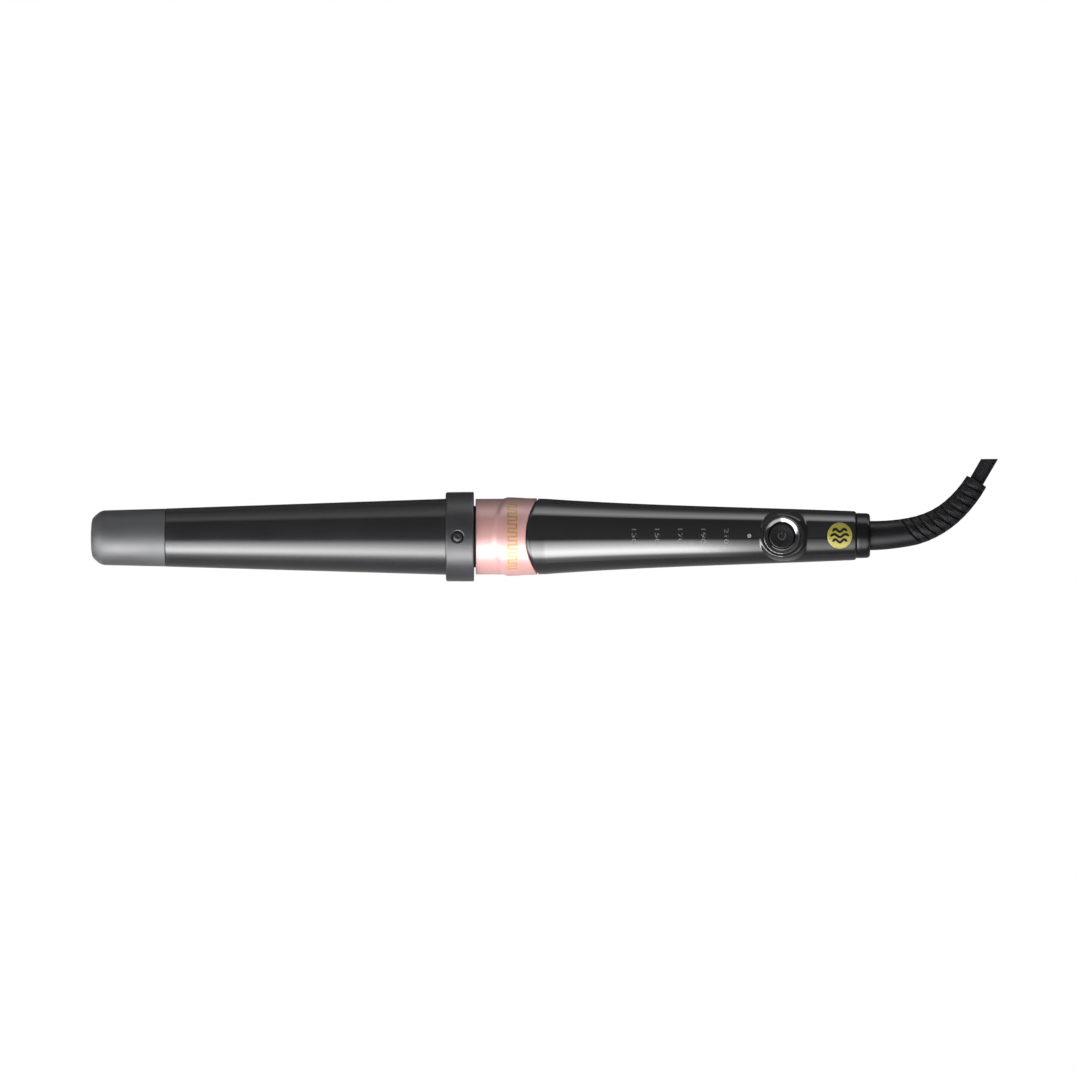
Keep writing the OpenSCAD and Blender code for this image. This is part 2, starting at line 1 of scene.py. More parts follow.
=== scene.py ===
import json
import math
import bpy
import bmesh
import numpy as np
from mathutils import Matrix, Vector

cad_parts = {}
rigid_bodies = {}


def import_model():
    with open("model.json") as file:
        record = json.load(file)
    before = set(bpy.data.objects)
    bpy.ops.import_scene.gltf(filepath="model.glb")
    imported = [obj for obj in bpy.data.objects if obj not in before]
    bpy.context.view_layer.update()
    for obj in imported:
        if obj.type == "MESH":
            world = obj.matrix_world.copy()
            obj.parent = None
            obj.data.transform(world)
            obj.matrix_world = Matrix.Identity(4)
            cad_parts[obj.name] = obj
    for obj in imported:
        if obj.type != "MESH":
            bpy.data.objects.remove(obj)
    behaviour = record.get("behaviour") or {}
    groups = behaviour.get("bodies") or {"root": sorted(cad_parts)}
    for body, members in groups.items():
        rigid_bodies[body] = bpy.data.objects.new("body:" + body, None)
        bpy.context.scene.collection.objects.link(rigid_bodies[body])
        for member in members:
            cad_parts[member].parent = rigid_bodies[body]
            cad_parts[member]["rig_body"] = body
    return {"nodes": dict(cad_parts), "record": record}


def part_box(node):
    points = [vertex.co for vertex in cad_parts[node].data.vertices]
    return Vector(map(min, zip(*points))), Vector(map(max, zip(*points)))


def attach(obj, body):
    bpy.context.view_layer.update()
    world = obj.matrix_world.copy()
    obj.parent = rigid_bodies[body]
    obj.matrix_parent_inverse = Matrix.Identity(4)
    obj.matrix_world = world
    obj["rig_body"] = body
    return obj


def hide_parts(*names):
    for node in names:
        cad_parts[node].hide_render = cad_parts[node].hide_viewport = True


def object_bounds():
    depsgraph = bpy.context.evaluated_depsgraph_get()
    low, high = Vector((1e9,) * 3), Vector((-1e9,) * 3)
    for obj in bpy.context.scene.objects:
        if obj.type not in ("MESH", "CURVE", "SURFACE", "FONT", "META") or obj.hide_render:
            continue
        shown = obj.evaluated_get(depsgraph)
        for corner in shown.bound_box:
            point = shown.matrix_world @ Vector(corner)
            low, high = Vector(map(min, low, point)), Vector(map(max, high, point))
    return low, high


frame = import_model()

MM = 0.001
record = frame["record"]


def plain(b):
    return [[float(v) for v in b[0]], [float(v) for v in b[1]]]


cad_bounds = plain(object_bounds())

# ------------------------------------------------------------------ stations (mm), from the CAD boxes


def mm_box(node):
    lo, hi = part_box(node)
    return [v / MM for v in lo], [v / MM for v in hi]


X_TIP0 = mm_box("tip_cap")[0][0]
X_BAR0 = mm_box("barrel")[0][0] - 0.05
X_COL0, X_COL1 = mm_box("collar")[0][0], mm_box("collar")[1][0]
X_RING0 = mm_box("front_ring")[0][0]
X_HND1 = 171.9
X_END1 = mm_box("end_ring")[1][0]
X_BTN = (mm_box("power_button")[0][0] + mm_box("power_button")[1][0]) / 2
X_BADGE = (mm_box("badge")[0][0] + mm_box("badge")[1][0]) / 2
BTN_TOP = mm_box("power_button")[1][2]
BAR_T, BAR_B = 12.6, 16.5
SADDLE_R, X_SADDLE, X_STEP = 30.6, 28.86, 13.67
X_LED0 = mm_box("temperature_lenses")[0][0] + 1.2
X_LED1 = mm_box("temperature_lenses")[1][0] - 1.2
LEDS = [X_LED0 + (X_LED1 - X_LED0) * i / 4 for i in range(5)]
X_POW = (mm_box("power_lens")[0][0] + mm_box("power_lens")[1][0]) / 2
SCREWS_X = (46.0, 101.3, 147.6)


def clamp(t, a=0.0, b=1.0):
    return max(a, min(b, t))


def smooth(t):
    t = clamp(t)
    return t * t * (3 - 2 * t)


def hnd(x):
    """Outer radius of the handle."""
    t = clamp((x - 37) / 135)
    r = 16.4 - 5.8 * (t + 0.68 * t * (1 - t) ** 2)
    return r + 0.12 * smooth((38 - x) / 12)


# ------------------------------------------------------------------ mesh helpers


def new_object(name, verts, faces, mat, body, replaces=(), sharp=32.0, scale=MM, recalc=True):
    me = bpy.data.meshes.new(name)
    used = sorted({i for f in faces for i in f})
    index = {v: n for n, v in enumerate(used)}
    me.from_pydata([tuple(c * scale for c in verts[v]) for v in used], [], [[index[i] for i in f] for f in faces])
    me.validate()
    if recalc:
        bm = bmesh.new()
        bm.from_mesh(me)
        bmesh.ops.remove_doubles(bm, verts=bm.verts, dist=1e-7)
        bmesh.ops.recalc_face_normals(bm, faces=bm.faces)
        bm.to_mesh(me)
        bm.free()
    me.shade_smooth()
    if sharp is not None:
        me.set_sharp_from_angle(angle=math.radians(sharp))
    me.materials.append(mat)
    ob = bpy.data.objects.new(name, me)
    bpy.context.scene.collection.objects.link(ob)
    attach(ob, body)
    if replaces:
        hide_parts(*replaces)
    return ob


def fillet(points, n=6):
    """points: [(x, r, fillet radius)]; returns [(x, r)] with the corners rounded. The ends are kept."""
    out = []
    m = len(points)
    for i, p in enumerate(points):
        f = p[2] if len(p) > 2 else 0
        if f <= 0 or i in (0, m - 1):
            out.append((p[0], p[1]))
            continue
        a, b = np.array(points[i - 1][:2], float), np.array(points[i + 1][:2], float)
        c = np.array(p[:2], float)
        u, v = a - c, b - c
        lu, lv = np.linalg.norm(u), np.linalg.norm(v)
        u, v = u / lu, v / lv
        ang = math.acos(clamp(float(u @ v), -1, 1))
        if ang > math.pi - 1e-3:
            out.append((p[0], p[1]))
            continue
        t = min(f / math.tan(ang / 2), 0.48 * lu, 0.48 * lv)
        rad = t * math.tan(ang / 2)
        centre = c + (u + v) / np.linalg.norm(u + v) * rad / math.sin(ang / 2)
        s, e = c + u * t - centre, c + v * t - centre
        a0, a1 = math.atan2(s[1], s[0]), math.atan2(e[1], e[0])
        d = (a1 - a0 + math.pi) % (2 * math.pi) - math.pi
        for k in range(n + 1):
            q = a0 + d * k / n
            out.append((centre[0] + rad * math.cos(q), centre[1] + rad * math.sin(q)))
    return out


def curve(points, n=5):
    """A smooth curve through 2-D points; the ends are kept."""
    p = [np.array(q, float) for q in points]
    p = [2 * p[0] - p[1]] + p + [2 * p[-1] - p[-2]]
    out = []
    for a, b, c, d in zip(p, p[1:], p[2:], p[3:]):
        for k in range(n):
            t = k / n
            q = 0.5 * (2 * b + (c - a) * t + (2 * a - 5 * b + 4 * c - d) * t * t + (3 * b - a - 3 * c + d) * t ** 3)
            out.append((float(q[0]), float(q[1])))
    return out + [(float(points[-1][0]), float(points[-1][1]))]


def densify(profile, step):
    out = [profile[0]]
    for a, b in zip(profile, profile[1:]):
        n = max(1, int(math.hypot(b[0] - a[0], b[1] - a[1]) / step))
        for k in range(1, n + 1):
            out.append((a[0] + (b[0] - a[0]) * k / n, a[1] + (b[1] - a[1]) * k / n))
    return out


def lathe(name, profile, mat, body, replaces=(), seg=256, loop=False, sharp=32.0, move=None):
    """Revolves [(x, r)] about the X axis. r = 0 ends become poles; loop joins the last point to the first."""
    verts, rows, faces = [], [], []
    for x, r in profile:
        if r < 1e-6:
            rows.append([len(verts)])
            verts.append((x, 0.0, 0.0))
        else:
            rows.append(list(range(len(verts), len(verts) + seg)))
            for k in range(seg):
                a = 2 * math.pi * k / seg
                verts.append((x, r * math.sin(a), r * math.cos(a)))
    pairs = list(zip(rows, rows[1:])) + ([(rows[-1], rows[0])] if loop else [])
    for a, b in pairs:
        for k in range(seg):
            q = (k + 1) % seg
            if len(a) == 1 and len(b) == 1:
                continue
            if len(a) == 1:
                faces.append([a[0], b[k], b[q]])
            elif len(b) == 1:
                faces.append([a[k], b[0], a[q]])
            else:
                faces.append([a[k], b[k], b[q], a[q]])
    if move:
        verts = [move(v) for v in verts]
    return new_object(name, verts, faces, mat, body, replaces, sharp)


def shell(name, ni, nj, outer, inner, mat, body, replaces=(), missing=lambda i, j: False, wrap=False, sharp=32.0):
    """A closed skin from two grids with one topology; cells can be missing, which leaves a walled hole."""
    verts = [outer(i, j) for i in range(ni) for j in range(nj)]
    off = len(verts)
    verts += [inner(i, j) for i in range(ni) for j in range(nj)]
    faces, edges = [], {}
    for i in range(ni - 1):
        for j in range(nj if wrap else nj - 1):
            if missing(i, j):
                continue
            k = (j + 1) % nj
            f = [i * nj + j, (i + 1) * nj + j, (i + 1) * nj + k, i * nj + k]
            faces.append(f)
            faces.append([v + off for v in reversed(f)])
            for a, b in zip(f, f[1:] + f[:1]):
                edges[(a, b)] = True
    for a, b in list(edges):
        if (b, a) not in edges:
            faces.append([b, a, a + off, b + off])
    return new_object(name, verts, faces, mat, body, replaces, sharp)


def plate(name, pts, faces, top, bottom, mat, body, sharp=40.0):
    """A thin closed solid from a flat 2-D mesh, laid on a surface by the top and bottom maps."""
    n = len(pts)
    verts = [top(*p) for p in pts] + [bottom(*p) for p in pts]
    out, edges = [], {}
    for f in faces:
        out.append(list(f))
        out.append([v + n for v in reversed(f)])
        for a, b in zip(f, list(f[1:]) + [f[0]]):
            edges[(a, b)] = True
    for a, b in edges:
        if (b, a) not in edges:
            out.append([b, a, a + n, b + n])
    return new_object(name, verts, out, mat, body, (), sharp)


def merge2d(parts):
    pts, faces = [], []
    for p, f in parts:
        o = len(pts)
        pts += p
        faces += [[v + o for v in q] for q in f]
    return pts, faces


def disc2d(cx, cy, r, n=24):
    return [(cx + r * math.cos(2 * math.pi * k / n), cy + r * math.sin(2 * math.pi * k / n)) for k in range(n)], [list(range(n))]


def strip2d(line, width, caps=True):
    """A constant-width ribbon along a polyline with round ends."""
    p = [np.array(q, float) for q in line]
    if caps:
        d0, d1 = p[0] - p[1], p[-1] - p[-2]
        d0, d1 = d0 / np.linalg.norm(d0), d1 / np.linalg.norm(d1)
    left, right = [], []
    for i, q in enumerate(p):
        d = p[min(i + 1, len(p) - 1)] - p[max(i - 1, 0)]
        d = d / np.linalg.norm(d)
        nrm = np.array([-d[1], d[0]])
        w = width(i / (len(p) - 1)) if callable(width) else width
        left.append(tuple(q + nrm * w / 2))
        right.append(tuple(q - nrm * w / 2))
    pts = left + right
    n = len(p)
    faces = [[i, n + i, n + i + 1, i + 1] for i in range(n - 1)]
    if caps and not callable(width):
        for centre, d, a, b in ((p[0], d0, 0, n), (p[-1], d1, n - 1, 2 * n - 1)):
            base = math.atan2(d[1], d[0])
            o = len(pts)
            arc = [(centre[0] + width / 2 * math.cos(base + t), centre[1] + width / 2 * math.sin(base + t)) for t in (-math.pi / 4, 0, math.pi / 4)]
            pts += arc
            faces.append([b, a, o + 0, o + 1, o + 2] if centre is p[-1] else [a, b, o + 0, o + 1, o + 2])
    return pts, faces


def refine(node, mat, bevel=0.12, angle=30.0, seg=3, dissolve=0.6):
    """A finished copy of a CAD node: welded, its coplanar triangles joined and its edges rounded."""
    src = frame["nodes"][node]
    bm = bmesh.new()
    bm.from_mesh(src.data)
    bmesh.ops.remove_doubles(bm, verts=bm.verts, dist=2e-6)
    if dissolve:
        bmesh.ops.dissolve_limit(bm, angle_limit=math.radians(dissolve), verts=bm.verts, edges=bm.edges)
    bmesh.ops.recalc_face_normals(bm, faces=bm.faces)
    me = bpy.data.meshes.new(node + ".finish")
    bm.to_mesh(me)
    bm.free()
    me.shade_smooth()
    me.set_sharp_from_angle(angle=math.radians(angle))
    me.materials.clear()
    me.materials.append(mat)
    ob = bpy.data.objects.new(node + ".finish", me)
    bpy.context.scene.collection.objects.link(ob)
    if bevel:
        m = ob.modifiers.new("edges", "BEVEL")
        m.width = bevel * MM
        m.segments = seg
        m.limit_method = "ANGLE"
        m.angle_limit = math.radians(angle)
        m.harden_normals = True
        m.use_clamp_overlap = True
        m.miter_outer = "MITER_ARC"
    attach(ob, src["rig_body"])
    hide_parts(node)
    return ob


# ------------------------------------------------------------------ materials
def nodes_of(name):
    m = bpy.data.materials.new(name)
    m.use_nodes = True
    nt = m.node_tree
    nt.nodes.clear()
    out = nt.nodes.new("ShaderNodeOutputMaterial")
    bs = nt.nodes.new("ShaderNodeBsdfPrincipled")
    nt.links.new(bs.outputs["BSDF"], out.inputs["Surface"])
    co = nt.nodes.new("ShaderNodeTexCoord")
    return m, nt, bs, co


def noise(nt, vec, scale, detail=4.0, rough=0.5, dist=0.0):
    n = nt.nodes.new("ShaderNodeTexNoise")
    n.inputs["Scale"].default_value = scale
    n.inputs["Detail"].default_value = detail
    n.inputs["Roughness"].default_value = rough
    n.inputs["Distortion"].default_value = dist
    nt.links.new(vec, n.inputs["Vector"])
    return n.outputs["Fac"]


def mapped(nt, src, lo, hi, a=0.0, b=1.0):
    n = nt.nodes.new("ShaderNodeMapRange")
    n.inputs["From Min"].default_value, n.inputs["From Max"].default_value = a, b
    n.inputs["To Min"].default_value, n.inputs["To Max"].default_value = lo, hi
    nt.links.new(src, n.inputs["Value"])
    return n.outputs["Result"]


def mixed(nt, fac, c0, c1):
    n = nt.nodes.new("ShaderNodeMix")
    n.data_type = "RGBA"
    nt.links.new(fac, n.inputs["Factor"])
    for k, c in ((6, c0), (7, c1)):
        if hasattr(c, "links"):
            nt.links.new(c, n.inputs[k])
        else:
            n.inputs[k].default_value = (*c[:3], 1)
    return n.outputs[2]


def math2(nt, op, a, b=0.0, c=0.0):
    n = nt.nodes.new("ShaderNodeMath")
    n.operation = op
    for k, v in enumerate((a, b, c)):
        if hasattr(v, "links"):
            nt.links.new(v, n.inputs[k])
        else:
            n.inputs[k].default_value = v
    return n.outputs[0]


def stretched(nt, vec, s):
    n = nt.nodes.new("ShaderNodeMapping")
    n.inputs["Scale"].default_value = s
    nt.links.new(vec, n.inputs["Vector"])
    return n.outputs["Vector"]


def bump(nt, bs, height, strength, distance):
    n = nt.nodes.new("ShaderNodeBump")
    n.inputs["Strength"].default_value = strength
    n.inputs["Distance"].default_value = distance
    nt.links.new(height, n.inputs["Height"])
    if bs.inputs["Normal"].links:
        nt.links.new(bs.inputs["Normal"].links[0].from_socket, n.inputs["Normal"])
    nt.links.new(n.outputs["Normal"], bs.inputs["Normal"])


def mat(name, color, rough=0.4, metal=0.0, spec=0.5, grain=0.0, grain_scale=3000.0, vary=0.15, mottled=0.0, coat=0.0, dust=0.0, color2=None,
        peel=0.0, ior=1.5, aniso=None, sheen=0.0, rough_vary=0.18):
    """Moulded, coated or metal finishes: colour drifts a little, roughness is uneven, and a fine grain or peel breaks up the highlights."""
    m, nt, bs, co = nodes_of(name)
    v = co.outputs["Object"]
    big = noise(nt, v, 55.0, 3.0, 0.55)
    fine = noise(nt, v, grain_scale, 3.0, 0.6)
    hi = color2 or [min(1.0, c * (1 + vary) + 0.0006) for c in color]
    lo = [c * (1 - vary) for c in color]
    drift = mapped(nt, big, 0.0, 1.0, 0.3, 0.7)
    c = mixed(nt, drift, lo, hi)
    if mottled:
        c = mixed(nt, mapped(nt, fine, 0.0, mottled, 0.35, 0.65), c, [min(1.0, q * 2.2 + 0.01) for q in color])
    nt.links.new(c, bs.inputs["Base Color"])
    r = math2(nt, "ADD", mapped(nt, big, rough * (1 - rough_vary), rough * (1 + rough_vary), 0.3, 0.7), mapped(nt, noise(nt, v, 900.0, 2.0), -0.02, 0.02, 0.3, 0.7))
    if dust:
        r = math2(nt, "ADD", r, mapped(nt, noise(nt, v, 240.0, 6.0, 0.7), 0.0, dust, 0.52, 0.75))
    r = math2(nt, "MAXIMUM", r, 0.02)
    nt.links.new(r, bs.inputs["Roughness"])
    bs.inputs["Metallic"].default_value = metal
    bs.inputs["Specular IOR Level"].default_value = spec
    bs.inputs["IOR"].default_value = ior
    if coat:
        bs.inputs["Coat Weight"].default_value = coat
        bs.inputs["Coat Roughness"].default_value = 0.08
    if sheen:
        bs.inputs["Sheen Weight"].default_value = sheen
        bs.inputs["Sheen Roughness"].default_value = 0.5
    if grain:
        bump(nt, bs, fine, grain, 0.00004)
    if peel:
        bump(nt, bs, noise(nt, v, 420.0, 1.5, 0.4), peel, 0.00003)
    if aniso:
        streak = noise(nt, stretched(nt, v, aniso), 1.0, 3.0, 0.6)
        bump(nt, bs, streak, 0.12, 0.00002)
    return m


M = {}
M["tip_plastic"] = mat("tip_plastic", [0.0172, 0.0176, 0.0198], 0.49, spec=0.60, grain=0.35, grain_scale=4200, vary=0.10)
M["barrel_coating"] = mat("barrel_coating", [0.0040, 0.0041, 0.0050], 0.195, spec=0.42, grain=0.16, grain_scale=5200, vary=0.12, rough_vary=0.06)
M["collar_plastic"] = mat("collar_plastic", [0.0085, 0.0087, 0.0105], 0.36, spec=0.41, grain=0.30, grain_scale=4600, vary=0.10)
M["neck_plastic"] = mat("neck_plastic", [0.0018, 0.0018, 0.0022], 0.5, spec=0.12, grain=0.2)
M["handle_gloss"] = mat("handle_gloss", [0.0020, 0.0021, 0.0025], 0.055, spec=0.5, peel=0.10, vary=0.2, rough_vary=0.25, dust=0.03)
M["end_ring_plastic"] = mat("end_ring_plastic", [0.0012, 0.0012, 0.0018], 0.23, spec=0.22, grain=0.2, grain_scale=3600)
M["chrome_trim"] = mat("chrome_trim", [0.130, 0.131, 0.135], 0.07, metal=1.0, vary=0.02, peel=0.04, rough_vary=0.3)
M["button_gloss"] = mat("button_gloss", [0.0022, 0.0022, 0.0026], 0.30, spec=0.25, grain=0.12, grain_scale=5200)
M["lens_plastic"] = mat("lens_plastic", [0.006, 0.006, 0.007], 0.10, spec=0.5)
M["steel"] = mat("steel", [0.56, 0.56, 0.57], 0.3, metal=1.0, vary=0.06, aniso=(40, 900, 900), dust=0.1)
M["black_screw"] = mat("black_screw", [0.006, 0.006, 0.0065], 0.42, spec=0.28, grain=0.2)
M["heater_aluminium"] = mat("heater_aluminium", [0.66, 0.66, 0.67], 0.34, metal=1.0, vary=0.05, aniso=(20, 1400, 1400))
M["ceramic_dark"] = mat("ceramic_dark", [0.05, 0.045, 0.042], 0.7, grain=0.6, mottled=0.3)
M["ceramic_light"] = mat("ceramic_light", [0.62, 0.59, 0.53], 0.6, grain=0.5, mottled=0.15)
M["copper_alloy"] = mat("copper_alloy", [0.74, 0.46, 0.22], 0.28, metal=1.0, vary=0.06, dust=0.08)
M["film"] = mat("film", [0.50, 0.20, 0.03], 0.22, vary=0.12)
M["component_black"] = mat("component_black", [0.012, 0.012, 0.013], 0.5, grain=0.6, grain_scale=2600)
M["component_yellow"] = mat("component_yellow", [0.55, 0.38, 0.04], 0.35, vary=0.08, grain=0.2)
M["component_blue"] = mat("component_blue", [0.01, 0.02, 0.12], 0.2, vary=0.15)
M["led_resin"] = mat("led_resin", [0.75, 0.75, 0.62], 0.25, vary=0.05)
M["plunger_red"] = mat("plunger_red", [0.35, 0.012, 0.01], 0.4, grain=0.2)
M["lead_white"] = mat("lead_white", [0.62, 0.62, 0.58], 0.55, sheen=0.2, grain=0.4)
M["lead_red"] = mat("lead_red", [0.32, 0.01, 0.01], 0.5, grain=0.3)
M["core_brown"] = mat("core_brown", [0.055, 0.018, 0.008], 0.45, grain=0.3)
M["core_blue"] = mat("core_blue", [0.008, 0.03, 0.22], 0.45, grain=0.3)
M["white_nylon"] = mat("white_nylon", [0.62, 0.62, 0.58], 0.45, grain=0.4)
M["cord_rubber"] = mat("cord_rubber", [0.0016, 0.0016, 0.0024], 0.43, spec=0.18, grain=0.04, grain_scale=3400, vary=0.12, dust=0.10)
# pale grey diffuser window of the power light; its lightness is a painted glow of the lit light, not a lamp
M["window_painted_glow"] = mat("window_painted_glow", [0.10, 0.10, 0.105], 0.2, vary=0.1)
M["label_white"] = mat("label_white", [0.045, 0.045, 0.045], 0.45, vary=0.08, mottled=0.0)
M["symbol_grey"] = mat("symbol_grey", [0.022, 0.022, 0.024], 0.35, vary=0.2)
M["motif_black"] = mat("motif_black", [0.0018, 0.0017, 0.0016], 0.6, spec=0.08, vary=0.2)
M["gold_print"] = mat("gold_print", [0.205, 0.112, 0.009], 0.34, metal=0.3, vary=0.18, grain=0.5, grain_scale=2200, mottled=0.2)


def board_material():
    m, nt, bs, co = nodes_of("board_green")
    v = co.outputs["Object"]
    c = mixed(nt, mapped(nt, noise(nt, v, 60.0), 0, 1, 0.3, 0.7), (0.010, 0.095, 0.040), (0.014, 0.13, 0.055))
    wave = nt.nodes.new("ShaderNodeTexWave")
    wave.wave_type, wave.bands_direction = "BANDS", "Y"
    wave.inputs["Scale"].default_value = 160.0
    nt.links.new(v, wave.inputs["Vector"])
    c = mixed(nt, mapped(nt, wave.outputs["Fac"], 0.0, 1.0, 0.72, 0.86), c, (0.03, 0.2, 0.09))
    nt.links.new(c, bs.inputs["Base Color"])
    bs.inputs["Roughness"].default_value = 0.28
    return m


def badge_material():
    m, nt, bs, co = nodes_of("badge_metal")
    v = co.outputs["Object"]
    big, fine = noise(nt, v, 500.0, 4.0, 0.6), noise(nt, v, 2600.0, 3.0, 0.6)
    c = mixed(nt, mapped(nt, big, 0, 1, 0.35, 0.65), (0.135, 0.116, 0.016), (0.166, 0.142, 0.025))
    nt.links.new(c, bs.inputs["Base Color"])
    nt.links.new(mapped(nt, fine, 0.34, 0.5, 0.3, 0.7), bs.inputs["Roughness"])
    bs.inputs["Metallic"].default_value = 0.12
    bs.inputs["Specular IOR Level"].default_value = 0.3
    bump(nt, bs, fine, 0.25, 0.00002)
    return m


def ring_material():
    """Rose-tinted satin metal, turned, so its grain runs round the ring."""
    m, nt, bs, co = nodes_of("ring_metal")
    v = co.outputs["Object"]
    big = noise(nt, v, 60.0, 3.0, 0.5)
    c = mixed(nt, mapped(nt, big, 0, 1, 0.3, 0.7), (0.262, 0.136, 0.129), (0.284, 0.153, 0.146))
    nt.links.new(c, bs.inputs["Base Color"])
    turned = noise(nt, stretched(nt, v, (5200, 90, 90)), 1.0, 3.0, 0.55)
    nt.links.new(math2(nt, "ADD", mapped(nt, turned, 0.41, 0.47, 0.3, 0.7), mapped(nt, big, -0.03, 0.03, 0.3, 0.7)), bs.inputs["Roughness"])
    bs.inputs["Metallic"].default_value = 0.30
    bs.inputs["Specular IOR Level"].default_value = 0.7
    bs.inputs["Coat Weight"].default_value = 0.45
    bs.inputs["Coat Roughness"].default_value = 0.26
    bump(nt, bs, turned, 0.025, 0.00001)
    return m


M["board_green"] = board_material()
M["badge_metal"] = badge_material()
M["ring_metal"] = ring_material()

# every CAD node takes the procedural finish of its slot
slot_of = {p["node"]: p["material_slot"] for p in record["subparts"]}
for node, ob in frame["nodes"].items():
    ob.data.materials.clear()
    ob.data.materials.append(M[slot_of[node]])

# the power light's window takes that pale grey: a real diffuser, with a painted glow standing in for its lit light
frame["nodes"]["power_lens"].data.materials.clear()
frame["nodes"]["power_lens"].data.materials.append(M["window_painted_glow"])

# ------------------------------------------------------------------ tip, barrel, collar
nose = curve([(X_TIP0 + dx, r) for dx, r in ((5.9, 11.86), (5.1, 11.70), (4.25, 11.35), (3.4, 10.82), (2.5, 10.14), (1.65, 9.35), (0.95, 8.55), (0.50, 7.6), (0.28, 6.2), (0.14, 4.6), (0.07, 3.45))], 5)
tip = densify(fillet([
    (X_BAR0 + 4.1, 4.6), (X_BAR0 + 4.1, 11.0), (X_BAR0 + 0.05, 11.0), (X_BAR0 - 0.02, 12.56, 0.22), (X_TIP0 + 8.5, 11.95)], 8) + nose
    + [(X_TIP0 + 0.14, 3.28), (X_TIP0 + 0.40, 3.2), (X_TIP0 + 6.0, 3.18), (X_TIP0 + 18.0, 3.18), (X_TIP0 + 18.0, 4.6)], 1.2)
lathe("tip_cap.skin", tip, M["tip_plastic"], "wand", ["tip_cap"], 256, loop=True, sharp=38)
refine("tip_plug", M["tip_plastic"], 0.08)

bar = densify(fillet([
    (X_BAR0 + 0.10, 11.15), (X_BAR0 + 0.10, 12.62, 0.28), (X_COL0 - 0.5, BAR_B - 0.015, 3.0), (X_COL0 + 0.5, BAR_B), (3.9, BAR_B), (3.9, 15.1), (X_COL0, 15.1)], 8), 2.0)
lathe("barrel.skin", bar, M["barrel_coating"], "wand", ["barrel"], 288, loop=True, sharp=38)


def ring_window(ic, jc, K, radii, zs, keep_to):
    return dict(ic=ic, jc=jc, K=K, radii=radii, zs=zs, keep_to=keep_to)


def lines(spec):
    """[(from, to, steps)] -> positions without repeats."""
    out = [spec[0][0]]
    for a, b, n in spec:
        out += [a + (b - a) * k / n for k in range(1, n + 1)]
    return out


def collar_skin():
    """The collar with its two countersunk screw recesses, above and below."""
    R, K, xs = 19.4, 16, -0.87
    half = 4.0
    prof = [(X_COL0, 16.62), (X_COL0, 18.5), (X_COL0 + 0.02, 18.66), (X_COL0 + 0.10, 18.86), (X_COL0 + 0.22, 19.04), (X_COL0 + 0.36, 19.19), (X_COL0 + 0.52, 19.29), (X_COL0 + 0.72, 19.34), (xs - half - 0.2, 19.345)]
    xw = [xs - half + 2 * half * k / (2 * K) for k in range(2 * K + 1)]
    tail = [(3.9, 19.4), (4.9, 19.4), (X_COL1 - 0.45, 19.4), (X_COL1 - 0.3, 19.37), (X_COL1 - 0.16, 19.29), (X_COL1 - 0.06, 19.16), (X_COL1, 18.98), (X_COL1, 17.0), (X_COL1, 13.5)]
    stations = prof + [(x, R - 0.055 * clamp((1.7 - x) / 6.0)) for x in xw] + tail
    ic = len(prof) + K
    dth = math.degrees(half / R) / K
    th = [dth * k for k in range(-K, K + 1)]
    gap = 180 - 2 * dth * K
    n = 60
    side = [dth * K + gap * k / n for k in range(1, n)]
    angles = th + side + [180 + t for t in th] + [180 + s for s in side]
    nj = len(angles)
    centres = [K, K + 2 * K + 1 + n - 1]
    # rings of the recess: floor, wall, countersunk rim
    hole = {0: 0.0, 1: 0.35, 2: 0.75, 3: 1.15, 4: 1.6, 5: 2.1, 6: 2.52, 7: 2.56, 8: 2.6, 9: 2.72, 10: 2.95, 11: 3.02}
    depth = {0: 1.5, 1: 1.5, 2: 1.5, 3: 1.5, 4: 1.5, 5: 1.5, 6: 1.5, 7: 0.8, 8: 0.30, 9: 0.16, 10: 0.01, 11: 0.0}

    def place(i, j, base):
        for jc in centres:
            di, dj = i - ic, (j - jc + nj // 2) % nj - nj // 2
            k = max(abs(di), abs(dj))
            if k <= K:
                sgn = 1 if jc == centres[0] else -1
                gx, ga = xs + half * di / K, math.radians(dth * dj)
                gy = R * ga
                psi = math.atan2(dj, di) if k else 0
                if k <= 11:
                    px, py, d = xs + hole[k] * math.cos(psi), hole[k] * math.sin(psi), depth[k]
                else:
                    w = smooth((k - 11) / (K - 11))
                    rho = 3.02 + (half - 3.02) * (k - 11) / (K - 11)
                    px = (1 - w) * (xs + rho * math.cos(psi)) + w * gx
                    py = (1 - w) * rho * math.sin(psi) + w * gy
                    d = 0.0
                a = py / R
                rr = R - 0.055 * clamp((1.7 - px) / 6.0)
                return (px, sgn * (rr - d) * math.sin(a), sgn * (rr - d) * math.cos(a)) if base else None
        return None

    def outer(i, j):
        p = place(i, j, True)
        if p:
            return p
        x, r = stations[i]
        a = math.radians(angles[j])
        return (x, r * math.sin(a), r * math.cos(a))

    x_in = [X_COL0 + (X_COL1 - X_COL0) * i / (len(stations) - 1) for i in range(len(stations))]

    def inner(i, j):
        a = math.radians(angles[j])
        x = x_in[i]
        r = 16.62 if x < 4.2 else 16.62 - (16.62 - 13.5) * clamp((x - 4.2) / 0.3)
        return (x, r * math.sin(a), r * math.cos(a))

    return shell("collar.skin", len(stations), nj, outer, inner, M["collar_plastic"], "wand", ["collar"], wrap=True, sharp=34)


collar_skin()
refine("collar_screws", M["black_screw"], 0.10, 28)


# ------------------------------------------------------------------ front ring
def saddle_x(y, x0):
    return x0 + SADDLE_R - math.sqrt(max(0.0, SADDLE_R ** 2 - y * y))


